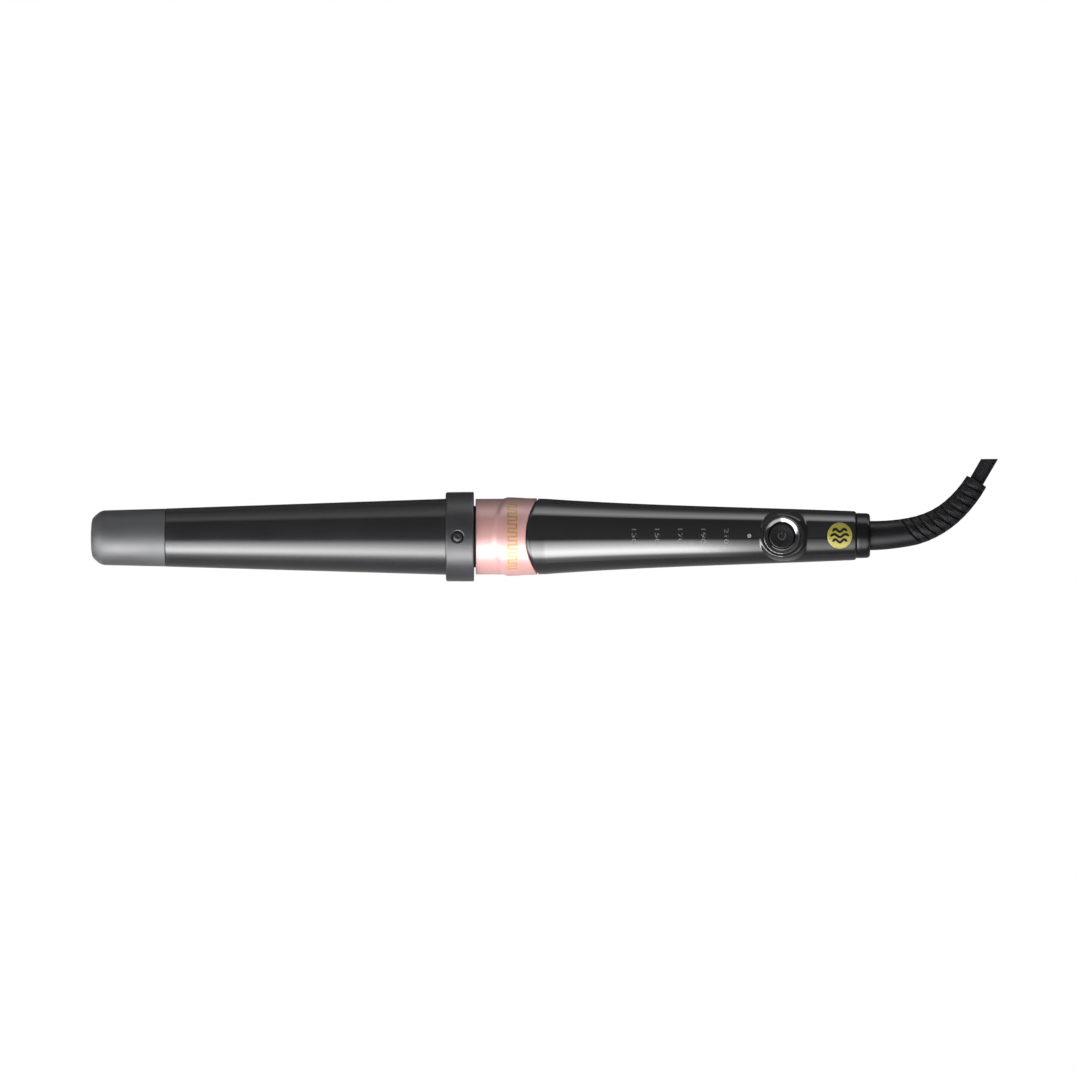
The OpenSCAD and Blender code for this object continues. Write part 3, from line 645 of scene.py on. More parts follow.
def front_ring():
    seg = 256
    edge = [(0.0, 16.02), (0.04, 16.18), (0.13, 16.32), (0.26, 16.41), (0.42, 16.45)]
    n0, n1, n2 = 22, 18, 26
    rows = []
    for dx, r in edge:
        rows.append(("a", dx, r))
    for k in range(1, n0 + 1):
        rows.append(("f", k / n0, None))
    for k in range(1, n1 + 1):
        rows.append(("s", k / n1, None))
    for k in range(1, n2 + 1):
        rows.append(("b", k / n2, None))
    tail = [(0.42, 0.0), (0.26, 0.03), (0.12, 0.10), (0.03, 0.22), (0.0, 0.36)]
    for back, drop in tail:
        rows.append(("e", back, drop))
    W = 2.6

    def r_of(x, xs):
        t = (x - xs) / W
        return 16.42 + 0.64 * smooth(t) - 0.46 * smooth((x - xs - W) / 10.5)

    def outer(i, j):
        a = 2 * math.pi * j / seg
        y = 16.6 * math.sin(a)
        xs = saddle_x(y, X_STEP) - 0.1
        xe = saddle_x(y, X_SADDLE) - 0.27
        kind, t, q = rows[i]
        x0 = X_RING0 + 0.42
        if kind == "a":
            x, r = X_RING0 + t, q
        elif kind == "f":
            x = x0 + (xs - x0) * t
            r = r_of(x, xs)
        elif kind == "s":
            x = xs + W * t
            r = r_of(x, xs)
        elif kind == "b":
            x = xs + W + (xe - 0.42 - xs - W) * t
            r = r_of(x, xs)
        else:
            x = xe - t
            r = r_of(xe, xs) - q
        return (x, r * math.sin(a), r * math.cos(a))

    def inner(i, j):
        x, y, z = outer(i, j)
        a = 2 * math.pi * j / seg
        return (x, 14.97 * math.sin(a), 14.97 * math.cos(a))

    return shell("front_ring.skin", len(rows), seg, outer, inner, M["ring_metal"], "wand", ["front_ring"], wrap=True, sharp=40)


front_ring()


def ring_r(x, y):
    xs = saddle_x(y, X_STEP) - 0.1
    return 17.06 - 0.46 * smooth((x - xs - 2.6) / 10.5)


def ornament():
    """A plain gilt key pattern round the front of the ring."""
    rows = ["####..",
            "#..#..",
            "#..#..",
            "#..#..",
            "#..#..",
            "#..#..",
            "#..###"]
    cell, repeats = 0.60, 9
    wide = len(rows[0])
    cols = wide * repeats + 1
    y0 = 0.5 * cols * cell
    pts, faces, index = [], [], {}

    def vertex(i, j):
        if (i, j) not in index:
            index[(i, j)] = len(pts)
            pts.append((22.8 + (3.5 - i) * cell, y0 - j * cell))
        return index[(i, j)]
    for j in range(cols):
        for i, row in enumerate(rows):
            if row[j % wide] == "#":
                faces.append([vertex(i, j), vertex(i, j + 1), vertex(i + 1, j + 1), vertex(i + 1, j)])
    R = 16.8

    def lay(h):
        def f(x, s):
            a = s / R
            r = ring_r(x, R * math.sin(a)) + h
            return (x, r * math.sin(a), r * math.cos(a))
        return f
    plate("front_ring.ornament", pts, faces, lay(0.05), lay(-0.06), M["gold_print"], "wand")


ornament()

# ------------------------------------------------------------------ handle
Z_PAD = 12.3


def boss(x, y):
    rho = math.hypot(x - X_BTN, y)
    if rho < 1e-6:
        return Z_PAD
    c = max(0.0, (x - X_BTN) / rho)
    f = max(0.0, (X_BTN - x) / rho)
    w = 1.35 + 2.7 * c ** 2 + 0.85 * f ** 2
    t = max(0.0, rho - 8.85)
    return Z_PAD - 3.2 * (t / w) ** 2.0


def smax(a, b, k):
    h = clamp(0.5 + 0.5 * (a - b) / k)
    return b * (1 - h) + a * h + k * h * (1 - h)


def handle_top(x, y):
    r = hnd(x)
    z = math.sqrt(max(0.0, r * r - y * y))
    if abs(x - X_BTN) < 24:
        b = boss(x, y)
        if b > z - 1.6:
            k = 0.5 * smooth((b - z + 1.6) / 1.6)
            if k > 1e-3:
                z = smax(z, b, k)
    return z


def handle_skin(upper):
    K = 56
    window = 13.4
    theta_w = 78.0
    # x stations: spigot under the ring, front edge, body, button window, body, rear edge
    st = []
    for x in (X_RING0 + 0.5, 12.0, 18.0, 24.0):
        st.append(("spigot", x))
    st += [("under", 0.0), ("edge", (0.0, 0.36)), ("edge", (0.03, 0.20)), ("edge", (0.11, 0.09)), ("edge", (0.24, 0.02)), ("edge", (0.40, 0.0))]
    for k in range(1, 13):
        st.append(("blend", k / 12))
    xs = lines([(42.0, X_BTN - window, 48)])[1:]
    st += [("x", x) for x in xs[:-1]]
    ic = len(st) + K
    st += [("x", X_BTN - window + window * k / K) for k in range(2 * K + 1)]
    st += [("x", x) for x in lines([(X_BTN + window, 170.9, 14)])[1:]]
    st += [("rear", (171.15, 0.02)), ("rear", (171.35, 0.09)), ("rear", (171.5, 0.2)), ("rear", (171.78, 0.42)), ("rear", (171.9, 0.55)), ("rear", (171.9, 0.9)), ("rear", (171.92, 1.65))]
    th = [theta_w * k / K for k in range(-K, K + 1)]
    edge = [80, 82, 84, 86, 88, 89.2]
    end = [(89.62, 0.05), (89.8, 0.16)]
    TH = [(-a, d) for a, d in reversed(end)] + [(-e, 0.0) for e in reversed(edge)] + [(t, 0.0) for t in th] + [(e, 0.0) for e in edge] + end
    jc = len(end) + len(edge) + K
    nj, ni = len(TH), len(st)
    sgn = 1 if upper else -1
    # rings of the button opening: 24 the hole, 25 to 27 the seat of the trim ring, then the pad
    k_hole = 24
    rad = {k: 5.72 * k / k_hole for k in range(k_hole + 1)}
    zed = {k: 11.28 for k in range(k_hole + 1)}
    for k, (r, z) in {25: (7.92, 11.28), 26: (7.98, 12.08), 27: (8.03, 12.2), 28: (8.12, 12.28), 29: (8.26, Z_PAD)}.items():
        rad[k], zed[k] = r, z
    for n, k in enumerate(range(30, 47)):
        rad[k] = 8.45 + 2.15 * (n / 16) ** 0.92
    kc = 38
    # screw recesses of the lower shell
    pockets = []
    if not upper:
        for sx in SCREWS_X:
            pockets.append(sx)

    def base(i, j):
        a, drop = TH[j]
        a = math.radians(a)
        kind, v = st[i]
        if kind == "spigot":
            return v, 14.88 - drop, a
        y = 16.5 * math.sin(a)
        xf = saddle_x(y, X_SADDLE) + 0.25
        if kind == "under":
            return xf, 14.9 - drop, a
        if kind == "edge":
            return xf + v[0], hnd(xf) - v[1] - drop, a
        if kind == "blend":
            x = xf + 0.40 + (42.0 - xf - 0.40) * v
            return x, hnd(x) - drop, a
        if kind == "rear":
            return v[0], hnd(v[0]) - v[1] - drop, a
        return v, hnd(v) - drop, a

    def outer(i, j):
        x, r, a = base(i, j)
        y, z = r * math.sin(a), r * math.cos(a)
        if upper:
            di, dj = i - ic, j - jc
            k = max(abs(di), abs(dj))
            if k <= K:
                psi = math.atan2(dj, di) if k else 0.0
                rho = rad.get(k, 10.6)
                cx, cy = X_BTN + rho * math.cos(psi), rho * math.sin(psi)
                if k > kc:
                    w = smooth((k - kc) / (K - kc))
                    cx, cy = (1 - w) * cx + w * x, (1 - w) * cy + w * y
                x, y = cx, cy
                z = zed[k] if k in zed else handle_top(x, y)
            elif st[i][0] == "x" and abs(TH[j][0]) < 89.3:
                z = max(z, handle_top(x, y)) if abs(TH[j][0]) < 89 else z
        return (x, y, sgn * z)

    def inner_r(x):
        if x < 33:
            return 13.44
        return max(7.2, min(13.44 + (x - 33) * 0.5, hnd(x) - 2.0))

    def inner(i, j):
        x, r, a = base(i, j)
        rin = inner_r(x)
        if st[i][0] == "rear":
            rin = hnd(x) - 2.0
        y, z = rin * math.sin(a), rin * math.cos(a)
        if upper:
            di, dj = i - ic, j - jc
            k = max(abs(di), abs(dj))
            if k <= K:
                psi = math.atan2(dj, di) if k else 0.0
                rho = 5.72 * min(k, k_hole) / k_hole + max(0, k - k_hole) * 0.1
                w = smooth((k - k_hole) / (K - k_hole)) if k > k_hole else 0.0
                x = (1 - w) * (X_BTN + rho * math.cos(psi)) + w * x
                y = (1 - w) * rho * math.sin(psi) + w * y
                z = math.sqrt(max(0.0, inner_r(x) ** 2 - y * y))
        return (x, y, sgn * z)

    def missing(i, j):
        if not upper:
            return False
        ks = [max(abs(a - ic), abs(b - jc)) for a in (i, i + 1) for b in (j, j + 1)]
        return max(ks) <= k_hole

    name = "handle_upper" if upper else "handle_lower"
    return shell(name + ".skin", ni, nj, outer, inner, M["handle_gloss"], "wand", [name], missing, sharp=36)


handle_skin(True)
lower = handle_skin(False)


def screw_wells():
    """Opens the three screw wells of the lower shell and lines them."""
    bpy.context.view_layer.update()
    cutters = []
    for n, sx in enumerate(SCREWS_X):
        def down(v, sx=sx):
            x, y, z = v
            return (sx + z, y, -x)
        well = [(1.0, 0.0), (1.0, 2.2), (hnd(sx) - 0.28, 2.2), (hnd(sx) - 0.02, 2.42), (hnd(sx) + 1.0, 2.6), (hnd(sx) + 1.0, 0.0)]
        c = lathe("cutter_%d" % n, well, M["handle_gloss"], "wand", (), 72, move=down)
        cutters.append(c)
        post = [(6.0, 1.12), (6.0, 2.2), (hnd(sx) - 1.0, 2.2), (hnd(sx) - 1.0, 3.2), (5.4, 3.2), (5.4, 1.12)]
        lathe("handle_lower.well_%d" % (n + 1), densify(post, 0.8), M["handle_gloss"], "wand", (), 72, loop=True, sharp=40, move=down)
    for n, c in enumerate(cutters):
        m = lower.modifiers.new("well_%d" % n, "BOOLEAN")
        m.operation, m.solver, m.object = "DIFFERENCE", "EXACT", c
    bpy.context.view_layer.update()
    me = bpy.data.meshes.new_from_object(lower.evaluated_get(bpy.context.evaluated_depsgraph_get()))
    lower.modifiers.clear()
    me.shade_smooth()
    me.set_sharp_from_angle(angle=math.radians(34))
    old = lower.data
    lower.data = me
    bpy.data.meshes.remove(old)
    for c in cutters:
        d = c.data
        bpy.data.objects.remove(c)
        bpy.data.meshes.remove(d)


screw_wells()

# end ring
end_prof = fillet([(X_HND1 + 0.12, 6.6), (X_HND1 + 0.12, 9.82, 0.3), (X_END1 - 1.3, 9.69, 0.6), (X_END1 - 0.42, 9.36, 0.35), (X_END1 - 0.01, 8.75, 0.3), (X_END1, 6.6, 0.2), (X_END1 - 1.2, 6.5)], 6)
lathe("end_ring.skin", densify(end_prof, 1.0), M["end_ring_plastic"], "wand", ["end_ring"], 192, loop=True, sharp=38)



# the trim ring round the button: a bright funnel that steepens towards the button
def bezel():
    z0 = mm_box("button_bezel")[1][2] - 12.5
    prof = [(5.60, 11.33)] + [(r, z) for r, z in curve([(5.60, 11.335), (5.85, 11.54), (6.1, 11.74), (6.35, 11.92), (6.8, 12.16), (7.3, 12.39), (7.62, 12.49)], 4)]
    prof += [(7.70, 12.495), (7.77, 12.47), (7.83, 12.42), (7.87, 12.35), (7.885, 12.26), (7.885, 11.33)]
    ring = densify([(z + z0, r) for r, z in prof] + [(11.33 + z0, 7.885)], 0.25)

    def up(v):
        x, y, z = v
        return (X_BTN + z, y, x)
    lathe("button_bezel.skin", ring, M["chrome_trim"], "wand", ["button_bezel"], 192, loop=True, sharp=60, move=up)


bezel()


# power button: a shallow dish with a rounded rim, and its symbol
def button():
    R = mm_box("power_button")[1][0] - X_BTN
    top = BTN_TOP
    prof = fillet([(top - 6.2, 4.6), (top - 6.2, R - 0.02), (top - 0.0, R, 0.45), (top - 0.06, R - 1.1, 0.8), (top - 0.22, 2.4, 8.0), (top - 0.25, 0.0)], 8)
    inner = [(top - 1.6, 0.0), (top - 1.6, 4.6)]
    prof = densify(inner + prof, 0.5)

    def up(v):
        x, y, z = v
        return (X_BTN + z, y, x)
    lathe("power_button.skin", prof, M["button_gloss"], "button", ["power_button"], 160, move=up, sharp=38)
    arc = [(1.55 * math.sin(t), 1.55 * math.cos(t)) for t in np.linspace(math.radians(38), math.radians(322), 40)]
    pts, faces = merge2d([strip2d(arc, 0.36), strip2d([(0, 0.45), (0, 1.2), (0, 2.0)], 0.36)])

    def lay(h):
        def f(u, v):
            return (X_BTN + u, v, top - 0.245 + h + 0.018 * (math.hypot(u, v) / 2) ** 2)
        return f
    plate("power_button.symbol", pts, faces, lay(0.035), lay(-0.05), M["symbol_grey"], "button")


button()


# badge: a domed gilt disc with a plain motif of three heat waves
def badge():
    R = 5.7
    n, rings = 96, 14
    pts, faces = [(0.0, 0.0)], []
    for k in range(1, rings + 1):
        rho = R * (k / rings) ** 0.8
        pts += [(rho * math.cos(2 * math.pi * q / n), rho * math.sin(2 * math.pi * q / n)) for q in range(n)]
    for q in range(n):
        faces.append([0, 1 + q, 1 + (q + 1) % n])
    for k in range(1, rings):
        a, b = 1 + (k - 1) * n, 1 + k * n
        for q in range(n):
            faces.append([a + q, b + q, b + (q + 1) % n, a + (q + 1) % n])

    def crown(u, v):
        rho = math.hypot(u, v)
        return 0.16 + 0.10 * (1 - (rho / R) ** 2) - 0.12 * smooth((rho - R + 0.35) / 0.35) ** 2

    def lay(h, flat=False):
        def f(u, v):
            x = X_BADGE + 0.947 * u
            z = math.sqrt(max(0.0, hnd(x) ** 2 - v * v))
            r = hnd(x)
            q = (crown(u, v) + h) if not flat else h
            return (x, v * (1 + q / r), z * (1 + q / r))
        return f
    ob = plate("badge.disc", pts, faces, lay(0.0), lay(-0.4, True), M["badge_metal"], "wand", sharp=60)
    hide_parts("badge")
    waves = []
    for dy in (-2.2, 0.0, 2.2):
        half = 3.9 if dy == 0 else 3.0
        line = [(-half + 2 * half * t, dy + 0.62 * math.sin(2 * math.pi * t * 1.5)) for t in np.linspace(0, 1, 41)]
        waves.append(strip2d(line, 1.05))
    p, f = merge2d(waves)
    plate("badge.motif", p, f, lay(0.05), lay(-0.1), M["motif_black"], "wand")


badge()


# temperature numbers: plain figures beside each light, running across the handle
def label(text, x, y, size, name):
    cu = bpy.data.curves.new(name, "FONT")
    cu.body = text
    cu.size = 1.0
    cu.align_x, cu.align_y = "CENTER", "CENTER"
    cu.resolution_u = 3
    tmp = bpy.data.objects.new(name + "_curve", cu)
    bpy.context.scene.collection.objects.link(tmp)
    bpy.context.view_layer.update()
    me = bpy.data.meshes.new_from_object(tmp.evaluated_get(bpy.context.evaluated_depsgraph_get()))
    bm = bmesh.new()
    bm.from_mesh(me)
    bmesh.ops.remove_doubles(bm, verts=bm.verts, dist=1e-5)
    # cut across the figures, so that they bend with the handle
    a0, a1 = min(v.co.x for v in bm.verts), max(v.co.x for v in bm.verts)
    for k in range(1, 16):
        bmesh.ops.bisect_plane(bm, geom=bm.verts[:] + bm.edges[:] + bm.faces[:], dist=1e-6, plane_co=(a0 + (a1 - a0) * k / 16, 0, 0), plane_no=(1, 0, 0))
    bm.to_mesh(me)
    bm.free()
    co = [(v.co.x, v.co.y) for v in me.vertices]
    faces = [list(p.vertices) for p in me.polygons]
    bpy.data.objects.remove(tmp)
    bpy.data.meshes.remove(me)
    bpy.data.curves.remove(cu)
    w = max(c[0] for c in co) - min(c[0] for c in co)
    h = max(c[1] for c in co) - min(c[1] for c in co)
    cx = (max(c[0] for c in co) + min(c[0] for c in co)) / 2
    cy = (max(c[1] for c in co) + min(c[1] for c in co)) / 2
    # text runs towards -Y, its top towards +X
    pts = [(x + (b - cy) / h * size[0], y - (a - cx) / w * size[1]) for a, b in co]

    def lay(hh):
        def f(px, py):
            r = hnd(px) + hh
            return (px, py * r / hnd(px), math.sqrt(max(0.0, hnd(px) ** 2 - py * py)) * r / hnd(px))
        return f
    return plate(name, pts, faces, lay(0.03), lay(-0.05), M["label_white"], "wand")


for i, (x, t) in enumerate(zip(LEDS, ("130", "150", "170", "190", "210"))):
    label(t, x - 0.85, -0.1, (2.0, 6.6), "temperature_mark_%d" % (i + 1))


# ------------------------------------------------------------------ cord
ARCS = [(91.5, 10.7), (39.0, 32.2), (53.6, 16.8)]
X_C0 = 178.3
CUT_Y = mm_box("cord_sheath")[1][1]


def centreline(s):
    """Point and heading at s mm past X_C0 (negative s is the straight run inside the handle)."""
    if s <= 0:
        return X_C0 + s, 0.0, 0.0
    x, y, h = X_C0, 0.0, 0.0
    for R, a in ARCS:
        a = math.radians(a)
        t = min(a, s / R)
        x += R * (math.sin(h + t) - math.sin(h))
        y += R * (math.cos(h) - math.cos(h + t))
        h += t
        s -= R * a
        if s <= 0:
            return x, y, h
    return x + s * math.cos(h), y + s * math.sin(h), h


S_ARC = sum(R * math.radians(a) for R, a in ARCS)
B0 = X_END1 - X_C0
BOOT = [(0, 6.36), (6.5, 6.26), (11, 6.17), (19.5, 6.12), (24, 5.95), (28, 5.78), (32.5, 5.58), (37, 5.42), (41, 5.30), (45.6, 5.16), (50, 5.04), (55, 4.90)]


def boot_r(s):
    xs, ys = [p[0] for p in BOOT], [p[1] for p in BOOT]
    return float(np.interp(s, xs, ys))


def sweep_point(s, r, phi, lift=0.0):
    """phi = 0 is +Z, phi = 90 the inner side of the bend."""
    x, y, h = centreline(s)
    nx, ny = -math.sin(h), math.cos(h)
    return (x + nx * r * math.sin(phi), y + ny * r * math.sin(phi), r * math.cos(phi))


def boot():
    n = 144
    S = 55.0
    n_rib = 10
    first, last = 17.7, 51.6
    slots = [first + (last - first) * k / (n_rib - 1) for k in range(n_rib)]
    rows = [(s, 0.0) for s in list(np.arange(-11.0, 14.0, 0.8)) + list(np.arange(14.0, S - 0.4, 0.14))]
    for ds, dr in ((0.30, 0.02), (0.17, 0.08), (0.07, 0.17), (0.0, 0.32)):
        rows.append((S - ds, dr))

    def shear(u):
        """How far the row leans: none at the root and at the end, most at the first groove."""
        t = math.tan(math.radians(33 - 22 * clamp((u - first) / (last - first))))
        return t * smooth((u - 1.0) / (first - 1.5)) * smooth((S - u) / 2.6)

    def outer(i, j):
        u, dr = rows[i]
        phi = 2 * math.pi * j / n
        r0 = boot_r(u) if u > 0 else 6.36
        s = u - math.sin(phi) * r0 * shear(u)
        r = (boot_r(s) if s > 0 else 6.36) - dr
        g = 0.0
        for c in slots:
            d = abs(u - c)
            if d < 1.3:
                g = max(g, 1 - smooth((d - 0.38) / 0.62))
        side = 0.06 + 0.94 * smooth((abs(math.cos(phi)) - 0.20) / 0.40)
        r -= 0.80 * g * side
        return sweep_point(s + B0, r, phi)

    def inner(i, j):
        s, dr = rows[i]
        phi = 2 * math.pi * j / n
        return sweep_point(s + B0, 3.26 if s > -2 else 4.45, phi)

    return shell("cord_boot.skin", len(rows), n, outer, inner, M["cord_rubber"], "cord", ["cord_boot"], wrap=True, sharp=50)


boot()


def cord():
    n = 96
    rows = list(np.arange(-6.0, S_ARC, 0.6)) + [S_ARC + k * 0.5 for k in range(8)]
    x1, y1, h1 = centreline(S_ARC)
    last = rows[-1]

    def cut(phi, r):
        """Distance past the arcs at which a line of the sheath meets the cut plane."""
        off = math.cos(h1) * r * math.sin(phi)
        return (CUT_Y - y1 - off) / math.sin(h1)

    ends = [0.0, 0.35, 0.7, 0.92, 0.975, 1.0]

    def row_point(i, j, r, shrink=True):
        phi = 2 * math.pi * j / n
        if i < len(rows):
            return sweep_point(rows[i], r, phi)
        t = ends[i - len(rows) + 1]
        q = r - (0.0 if t < 0.95 or not shrink else (0.03 if t < 0.99 else 0.12))
        c = S_ARC + cut(phi, q)
        return sweep_point(last + (c - last) * t, q, phi)

    ni = len(rows) + len(ends) - 1

    def outer(i, j):
        return row_point(i, j, 3.2)

    def inner(i, j):
        return row_point(i, j, 2.47, False)

    return shell("cord_sheath.skin", ni, n, outer, inner, M["cord_rubber"], "cord", (), wrap=True, sharp=50)


# the CAD sheath carries the filler between the cores; a rounded skin lies over it
cord()

# ------------------------------------------------------------------ stage
lo, hi = cad_bounds
floor_z = -19.4 * MM
FAR = 0.058
me = bpy.data.meshes.new("floor")
me.from_pydata([(-7.0, -7.0, floor_z - 0.0002), (7.0, -7.0, floor_z - 0.0002), (7.0, FAR, floor_z - 0.0002), (-7.0, FAR, floor_z - 0.0002)], [], [[0, 1, 2, 3]])
floor = bpy.data.objects.new("floor", me)
bpy.context.scene.collection.objects.link(floor)
fm = bpy.data.materials.new("floor_paper")
fm.use_nodes = True
nt = fm.node_tree
nt.nodes.clear()
out = nt.nodes.new("ShaderNodeOutputMaterial")
dif = nt.nodes.new("ShaderNodeBsdfDiffuse")
em = nt.nodes.new("ShaderNodeEmission")
mix = nt.nodes.new("ShaderNodeMixShader")
lp = nt.nodes.new("ShaderNodeLightPath")
co = nt.nodes.new("ShaderNodeTexCoord")
# for bounced and reflected light the paper turns darker from just past the wand on the +Y side: painted shade for the
# shadowed floor there, which the wand's far edges reflect; the camera sees the paper plain white
near = mixed(nt, mapped(nt, noise(nt, co.outputs["Object"], 6.0), 0, 1, 0.3, 0.7), (0.135, 0.135, 0.135), (0.15, 0.15, 0.15))
fsep = nt.nodes.new("ShaderNodeSeparateXYZ")
nt.links.new(co.outputs["Object"], fsep.inputs[0])
col = mixed(nt, mapped(nt, fsep.outputs["Y"], 0.0, 1.0, -0.03, 0.05), near, (0.10, 0.10, 0.10))
nt.links.new(col, dif.inputs["Color"])
em.inputs["Color"].default_value = (1, 1, 1, 1)
em.inputs["Strength"].default_value = 1.0
nt.links.new(math2(nt, "MULTIPLY", lp.outputs["Is Camera Ray"], 1.0), mix.inputs["Fac"])
nt.links.new(dif.outputs[0], mix.inputs[1])
nt.links.new(em.outputs[0], mix.inputs[2])
# seen from below the paper is clear, so the underside of the wand can be looked at
geo = nt.nodes.new("ShaderNodeNewGeometry")
clear = nt.nodes.new("ShaderNodeBsdfTransparent")
under = nt.nodes.new("ShaderNodeMixShader")
nt.links.new(geo.outputs["Backfacing"], under.inputs["Fac"])
nt.links.new(mix.outputs[0], under.inputs[1])
nt.links.new(clear.outputs[0], under.inputs[2])
nt.links.new(under.outputs[0], out.inputs["Surface"])
floor.data.materials.append(fm)

# soft studio light: a long graded softbox on one side, a weaker strip low on the other, little from above
world = bpy.data.worlds.new("studio")
bpy.context.scene.world = world
world.use_nodes = True
nt = world.node_tree
nt.nodes.clear()
wo = nt.nodes.new("ShaderNodeOutputWorld")
bg = nt.nodes.new("ShaderNodeBackground")
tc = nt.nodes.new("ShaderNodeTexCoord")
sep = nt.nodes.new("ShaderNodeSeparateXYZ")
nt.links.new(tc.outputs["Generated"], sep.inputs[0])
phi = math2(nt, "ARCTAN2", sep.outputs["Y"], sep.outputs["Z"])
pos = mapped(nt, phi, 0.0, 1.0, -math.pi, math.pi)
STOPS = [(-180, 0.25), (-95, 0.7), (-78, 0.8), (-70, 0.8), (-60, 0.7), (-30, 0.5), (-9, 0.45), (0, 0.42),
         (30, 0.38), (58, 0.34), (72, 0.40), (84, 0.45), (95, 0.40), (110, 0.3), (180, 0.25)]
TOP = 1.0
ramp = nt.nodes.new("ShaderNodeValToRGB")
ramp.color_ramp.interpolation = "LINEAR"
els = ramp.color_ramp.elements
while len(els) > 1:
    els.remove(els[-1])
for k, (d, v) in enumerate(STOPS):
    e = els[0] if k == 0 else els.new((d + 180) / 360)
    e.position = (d + 180) / 360
    e.color = (v / TOP, v / TOP, v / TOP, 1)
nt.links.new(pos, ramp.inputs["Fac"])
# the softboxes fade towards the ends of the wand
wide = math2(nt, "SUBTRACT", 1.0, mapped(nt, math2(nt, "ABSOLUTE", math2(nt, "ADD", sep.outputs["X"], 0.12)), 0.0, 0.80, 0.42, 0.90))
lum = nt.nodes.new("ShaderNodeSeparateColor")
nt.links.new(ramp.outputs["Color"], lum.inputs[0])
strength = math2(nt, "MULTIPLY", math2(nt, "MULTIPLY", lum.outputs[0], TOP), wide)
strength = math2(nt, "MAXIMUM", strength, 0.18)
lpw = nt.nodes.new("ShaderNodeLightPath")
cam_mix = nt.nodes.new("ShaderNodeMix")
cam_mix.data_type = "FLOAT"
nt.links.new(lpw.outputs["Is Camera Ray"], cam_mix.inputs[0])
nt.links.new(strength, cam_mix.inputs[2])
cam_mix.inputs[3].default_value = 1.0
nt.links.new(cam_mix.outputs[0], bg.inputs["Strength"])
bg.inputs["Color"].default_value = (1, 1, 1, 1)
nt.links.new(bg.outputs[0], wo.inputs["Surface"])
world.cycles.sampling_method = "MANUAL"
world.cycles.sample_map_resolution = 512


def softbox(name, along, across, gain, radius=0.8):
    """A long softbox curved round the wand. across: brightness against the angle from overhead; along: against x in metres."""
    p0, p1 = across[0][0], across[-1][0]
    x0, x1 = along[0][0], along[-1][0]
    na, nx = 24, 12
    verts, faces = [], []
    for i in range(nx + 1):
        for j in range(na + 1):
            a = math.radians(p0 + (p1 - p0) * j / na)
            verts.append((x0 + (x1 - x0) * i / nx, radius * math.sin(a), radius * math.cos(a)))
    for i in range(nx):
        for j in range(na):
            k = i * (na + 1) + j
            faces.append([k, k + 1, k + na + 2, k + na + 1])
    me = bpy.data.meshes.new(name)
    me.from_pydata(verts, [], faces)
    ob = bpy.data.objects.new(name, me)
    bpy.context.scene.collection.objects.link(ob)
    m = bpy.data.materials.new(name + "_cloth")
    m.use_nodes = True
    nt = m.node_tree
    nt.nodes.clear()
    out = nt.nodes.new("ShaderNodeOutputMaterial")
    em = nt.nodes.new("ShaderNodeEmission")
    co = nt.nodes.new("ShaderNodeTexCoord")
    sep = nt.nodes.new("ShaderNodeSeparateXYZ")
    nt.links.new(co.outputs["Object"], sep.inputs[0])

    def curve(value, stops):
        a, b = stops[0][0], stops[-1][0]
        top = max(v for _, v in stops)
        r = nt.nodes.new("ShaderNodeValToRGB")
        r.color_ramp.interpolation = "LINEAR"
        e = r.color_ramp.elements
        while len(e) > 1:
            e.remove(e[-1])
        for k, (d, v) in enumerate(stops):
            q = e[0] if k == 0 else e.new((d - a) / (b - a))
            q.position = (d - a) / (b - a)
            q.color = (v / top, v / top, v / top, 1)
        nt.links.new(mapped(nt, value, 0.0, 1.0, a, b), r.inputs["Fac"])
        c = nt.nodes.new("ShaderNodeSeparateColor")
        nt.links.new(r.outputs["Color"], c.inputs[0])
        return math2(nt, "MULTIPLY", c.outputs[0], top)
    ang = math2(nt, "MULTIPLY", math2(nt, "ARCTAN2", sep.outputs["Y"], sep.outputs["Z"]), 180 / math.pi)
    v = math2(nt, "MULTIPLY", curve(ang, across), curve(sep.outputs["X"], along))
    nt.links.new(math2(nt, "MULTIPLY", v, gain), em.inputs["Strength"])
    em.inputs["Color"].default_value = (1, 1, 1, 1)
    nt.links.new(em.outputs[0], out.inputs["Surface"])
    me.materials.append(m)
    ob.visible_camera = False
    return ob


softbox("softbox_left_front",
        [(-2.1, 0.0), (-1.95, 0.9), (-0.4848, 0.9), (-0.1575, 1.19), (-0.12, 1.08), (-0.092, 0.98), (-0.07, 0.91), (-0.0347, 0.82), (-0.01, 0.70), (0.02, 0.68)],
        [(-88, 1.1), (-82, 1.4), (-76, 1.8), (-71, 3.0), (-67, 5.2), (-62.5, 9.5), (-59, 13.3), (-55, 17.0), (-48.5, 20.0), (-40, 15.5), (-30, 10.5), (-20, 6.0), (-14, 2.2), (-8, 0.0)], 1.0)
softbox("softbox_left",
        [(0.02, 0.68), (0.035, 0.8), (0.0553, 0.98), (0.1126, 1.2), (0.1453, 1.17), (0.1658, 1.05), (0.171, 0.82), (0.178, 0.58), (0.1885, 0.4), (0.1985, 0.31), (0.219, 0.22), (0.3, 0.2), (0.85, 0.19), (0.95, 0.0)],
        [(-90, 1.2), (-84, 1.3), (-79, 1.7), (-74.5, 2.7), (-71, 4.2), (-67.5, 8.2), (-64, 13.5), (-57, 18.6), (-49, 20.0), (-40, 15.5), (-30, 10.5), (-20, 6.0), (-14, 2.2), (-8, 0.0)], 1.0)
softbox("softbox_right_front",
        [(-2.1, 0.0), (-1.95, 1.0), (-0.06, 1.0), (-0.0102, 0.85), (0.01, 1.5)],
        [(58, 0.0), (62.7, 0.4), (68, 1.3), (72, 1.6), (79.6, 1.3), (88.8, 0.85), (99, 0.62), (110, 0.35), (123, 0.2), (126, 0.0)], 1.0)
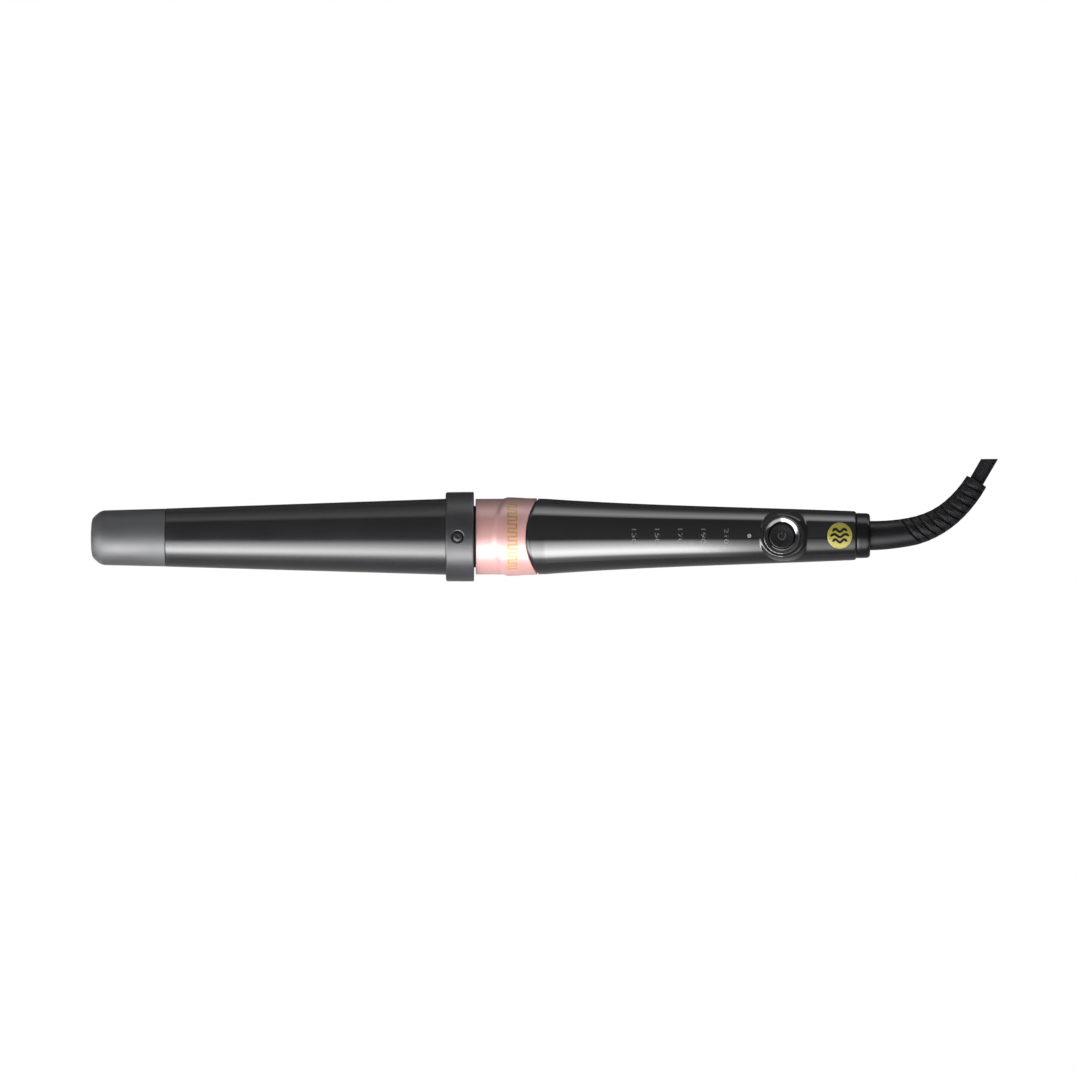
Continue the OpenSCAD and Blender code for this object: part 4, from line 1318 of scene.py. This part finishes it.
softbox("softbox_right",
        [(0.01, 0.75), (0.0226, 0.85), (0.0553, 1.0), (0.85, 1.0), (0.95, 0.0)],
        [(66, 0.0), (68, 1.6), (73, 3.4), (79, 4.8), (84, 4.2), (89, 3.4), (95, 2.4), (99, 1.8), (104, 1.0), (110, 0.5), (123, 0.22), (126, 0.0)], 1.0)

# a soft card beyond the tip, low on the bright side
me = bpy.data.meshes.new("end_card")
me.from_pydata([(-1.3, -1.6, 0.0), (-1.3, -0.1, 0.0), (-1.3, -0.1, 1.6), (-1.3, -1.6, 1.6)], [], [[0, 1, 2, 3]])
end_card = bpy.data.objects.new("end_card", me)
bpy.context.scene.collection.objects.link(end_card)
cm = bpy.data.materials.new("end_card_light")
cm.use_nodes = True
nt = cm.node_tree
nt.nodes.clear()
out = nt.nodes.new("ShaderNodeOutputMaterial")
em = nt.nodes.new("ShaderNodeEmission")
co = nt.nodes.new("ShaderNodeTexCoord")
sep = nt.nodes.new("ShaderNodeSeparateXYZ")
nt.links.new(co.outputs["Object"], sep.inputs[0])
nt.links.new(math2(nt, "MULTIPLY", mapped(nt, sep.outputs["Y"], 1.0, 0.0, -0.6, -0.1), 22.0), em.inputs["Strength"])
nt.links.new(em.outputs[0], out.inputs["Surface"])
me.materials.append(cm)
end_card.visible_camera = False

# ------------------------------------------------------------------ camera: straight down on the button face
PX = 0.434
cam_data = bpy.data.cameras.new("camera")
cam = bpy.data.objects.new("camera", cam_data)
bpy.context.scene.collection.objects.link(cam)
cam_data.lens = 400.0
cam_data.sensor_width = 36.0
cam_data.sensor_fit = "HORIZONTAL"
width = 1076 * PX * MM
dist = width / 2 / math.tan(math.atan(18.0 / 400.0))
cam.location = ((538 - 459.9) * PX * MM, -1.5 * PX * MM, dist)
cam.rotation_euler = (0.0, 0.0, math.radians(-0.16))
cam_data.clip_end = 50.0
bpy.context.scene.camera = cam

scene = bpy.context.scene
scene.view_settings.view_transform = "Standard"
scene.view_settings.look = "None"
scene.view_settings.exposure = 0.0
scene.view_settings.gamma = 1.0
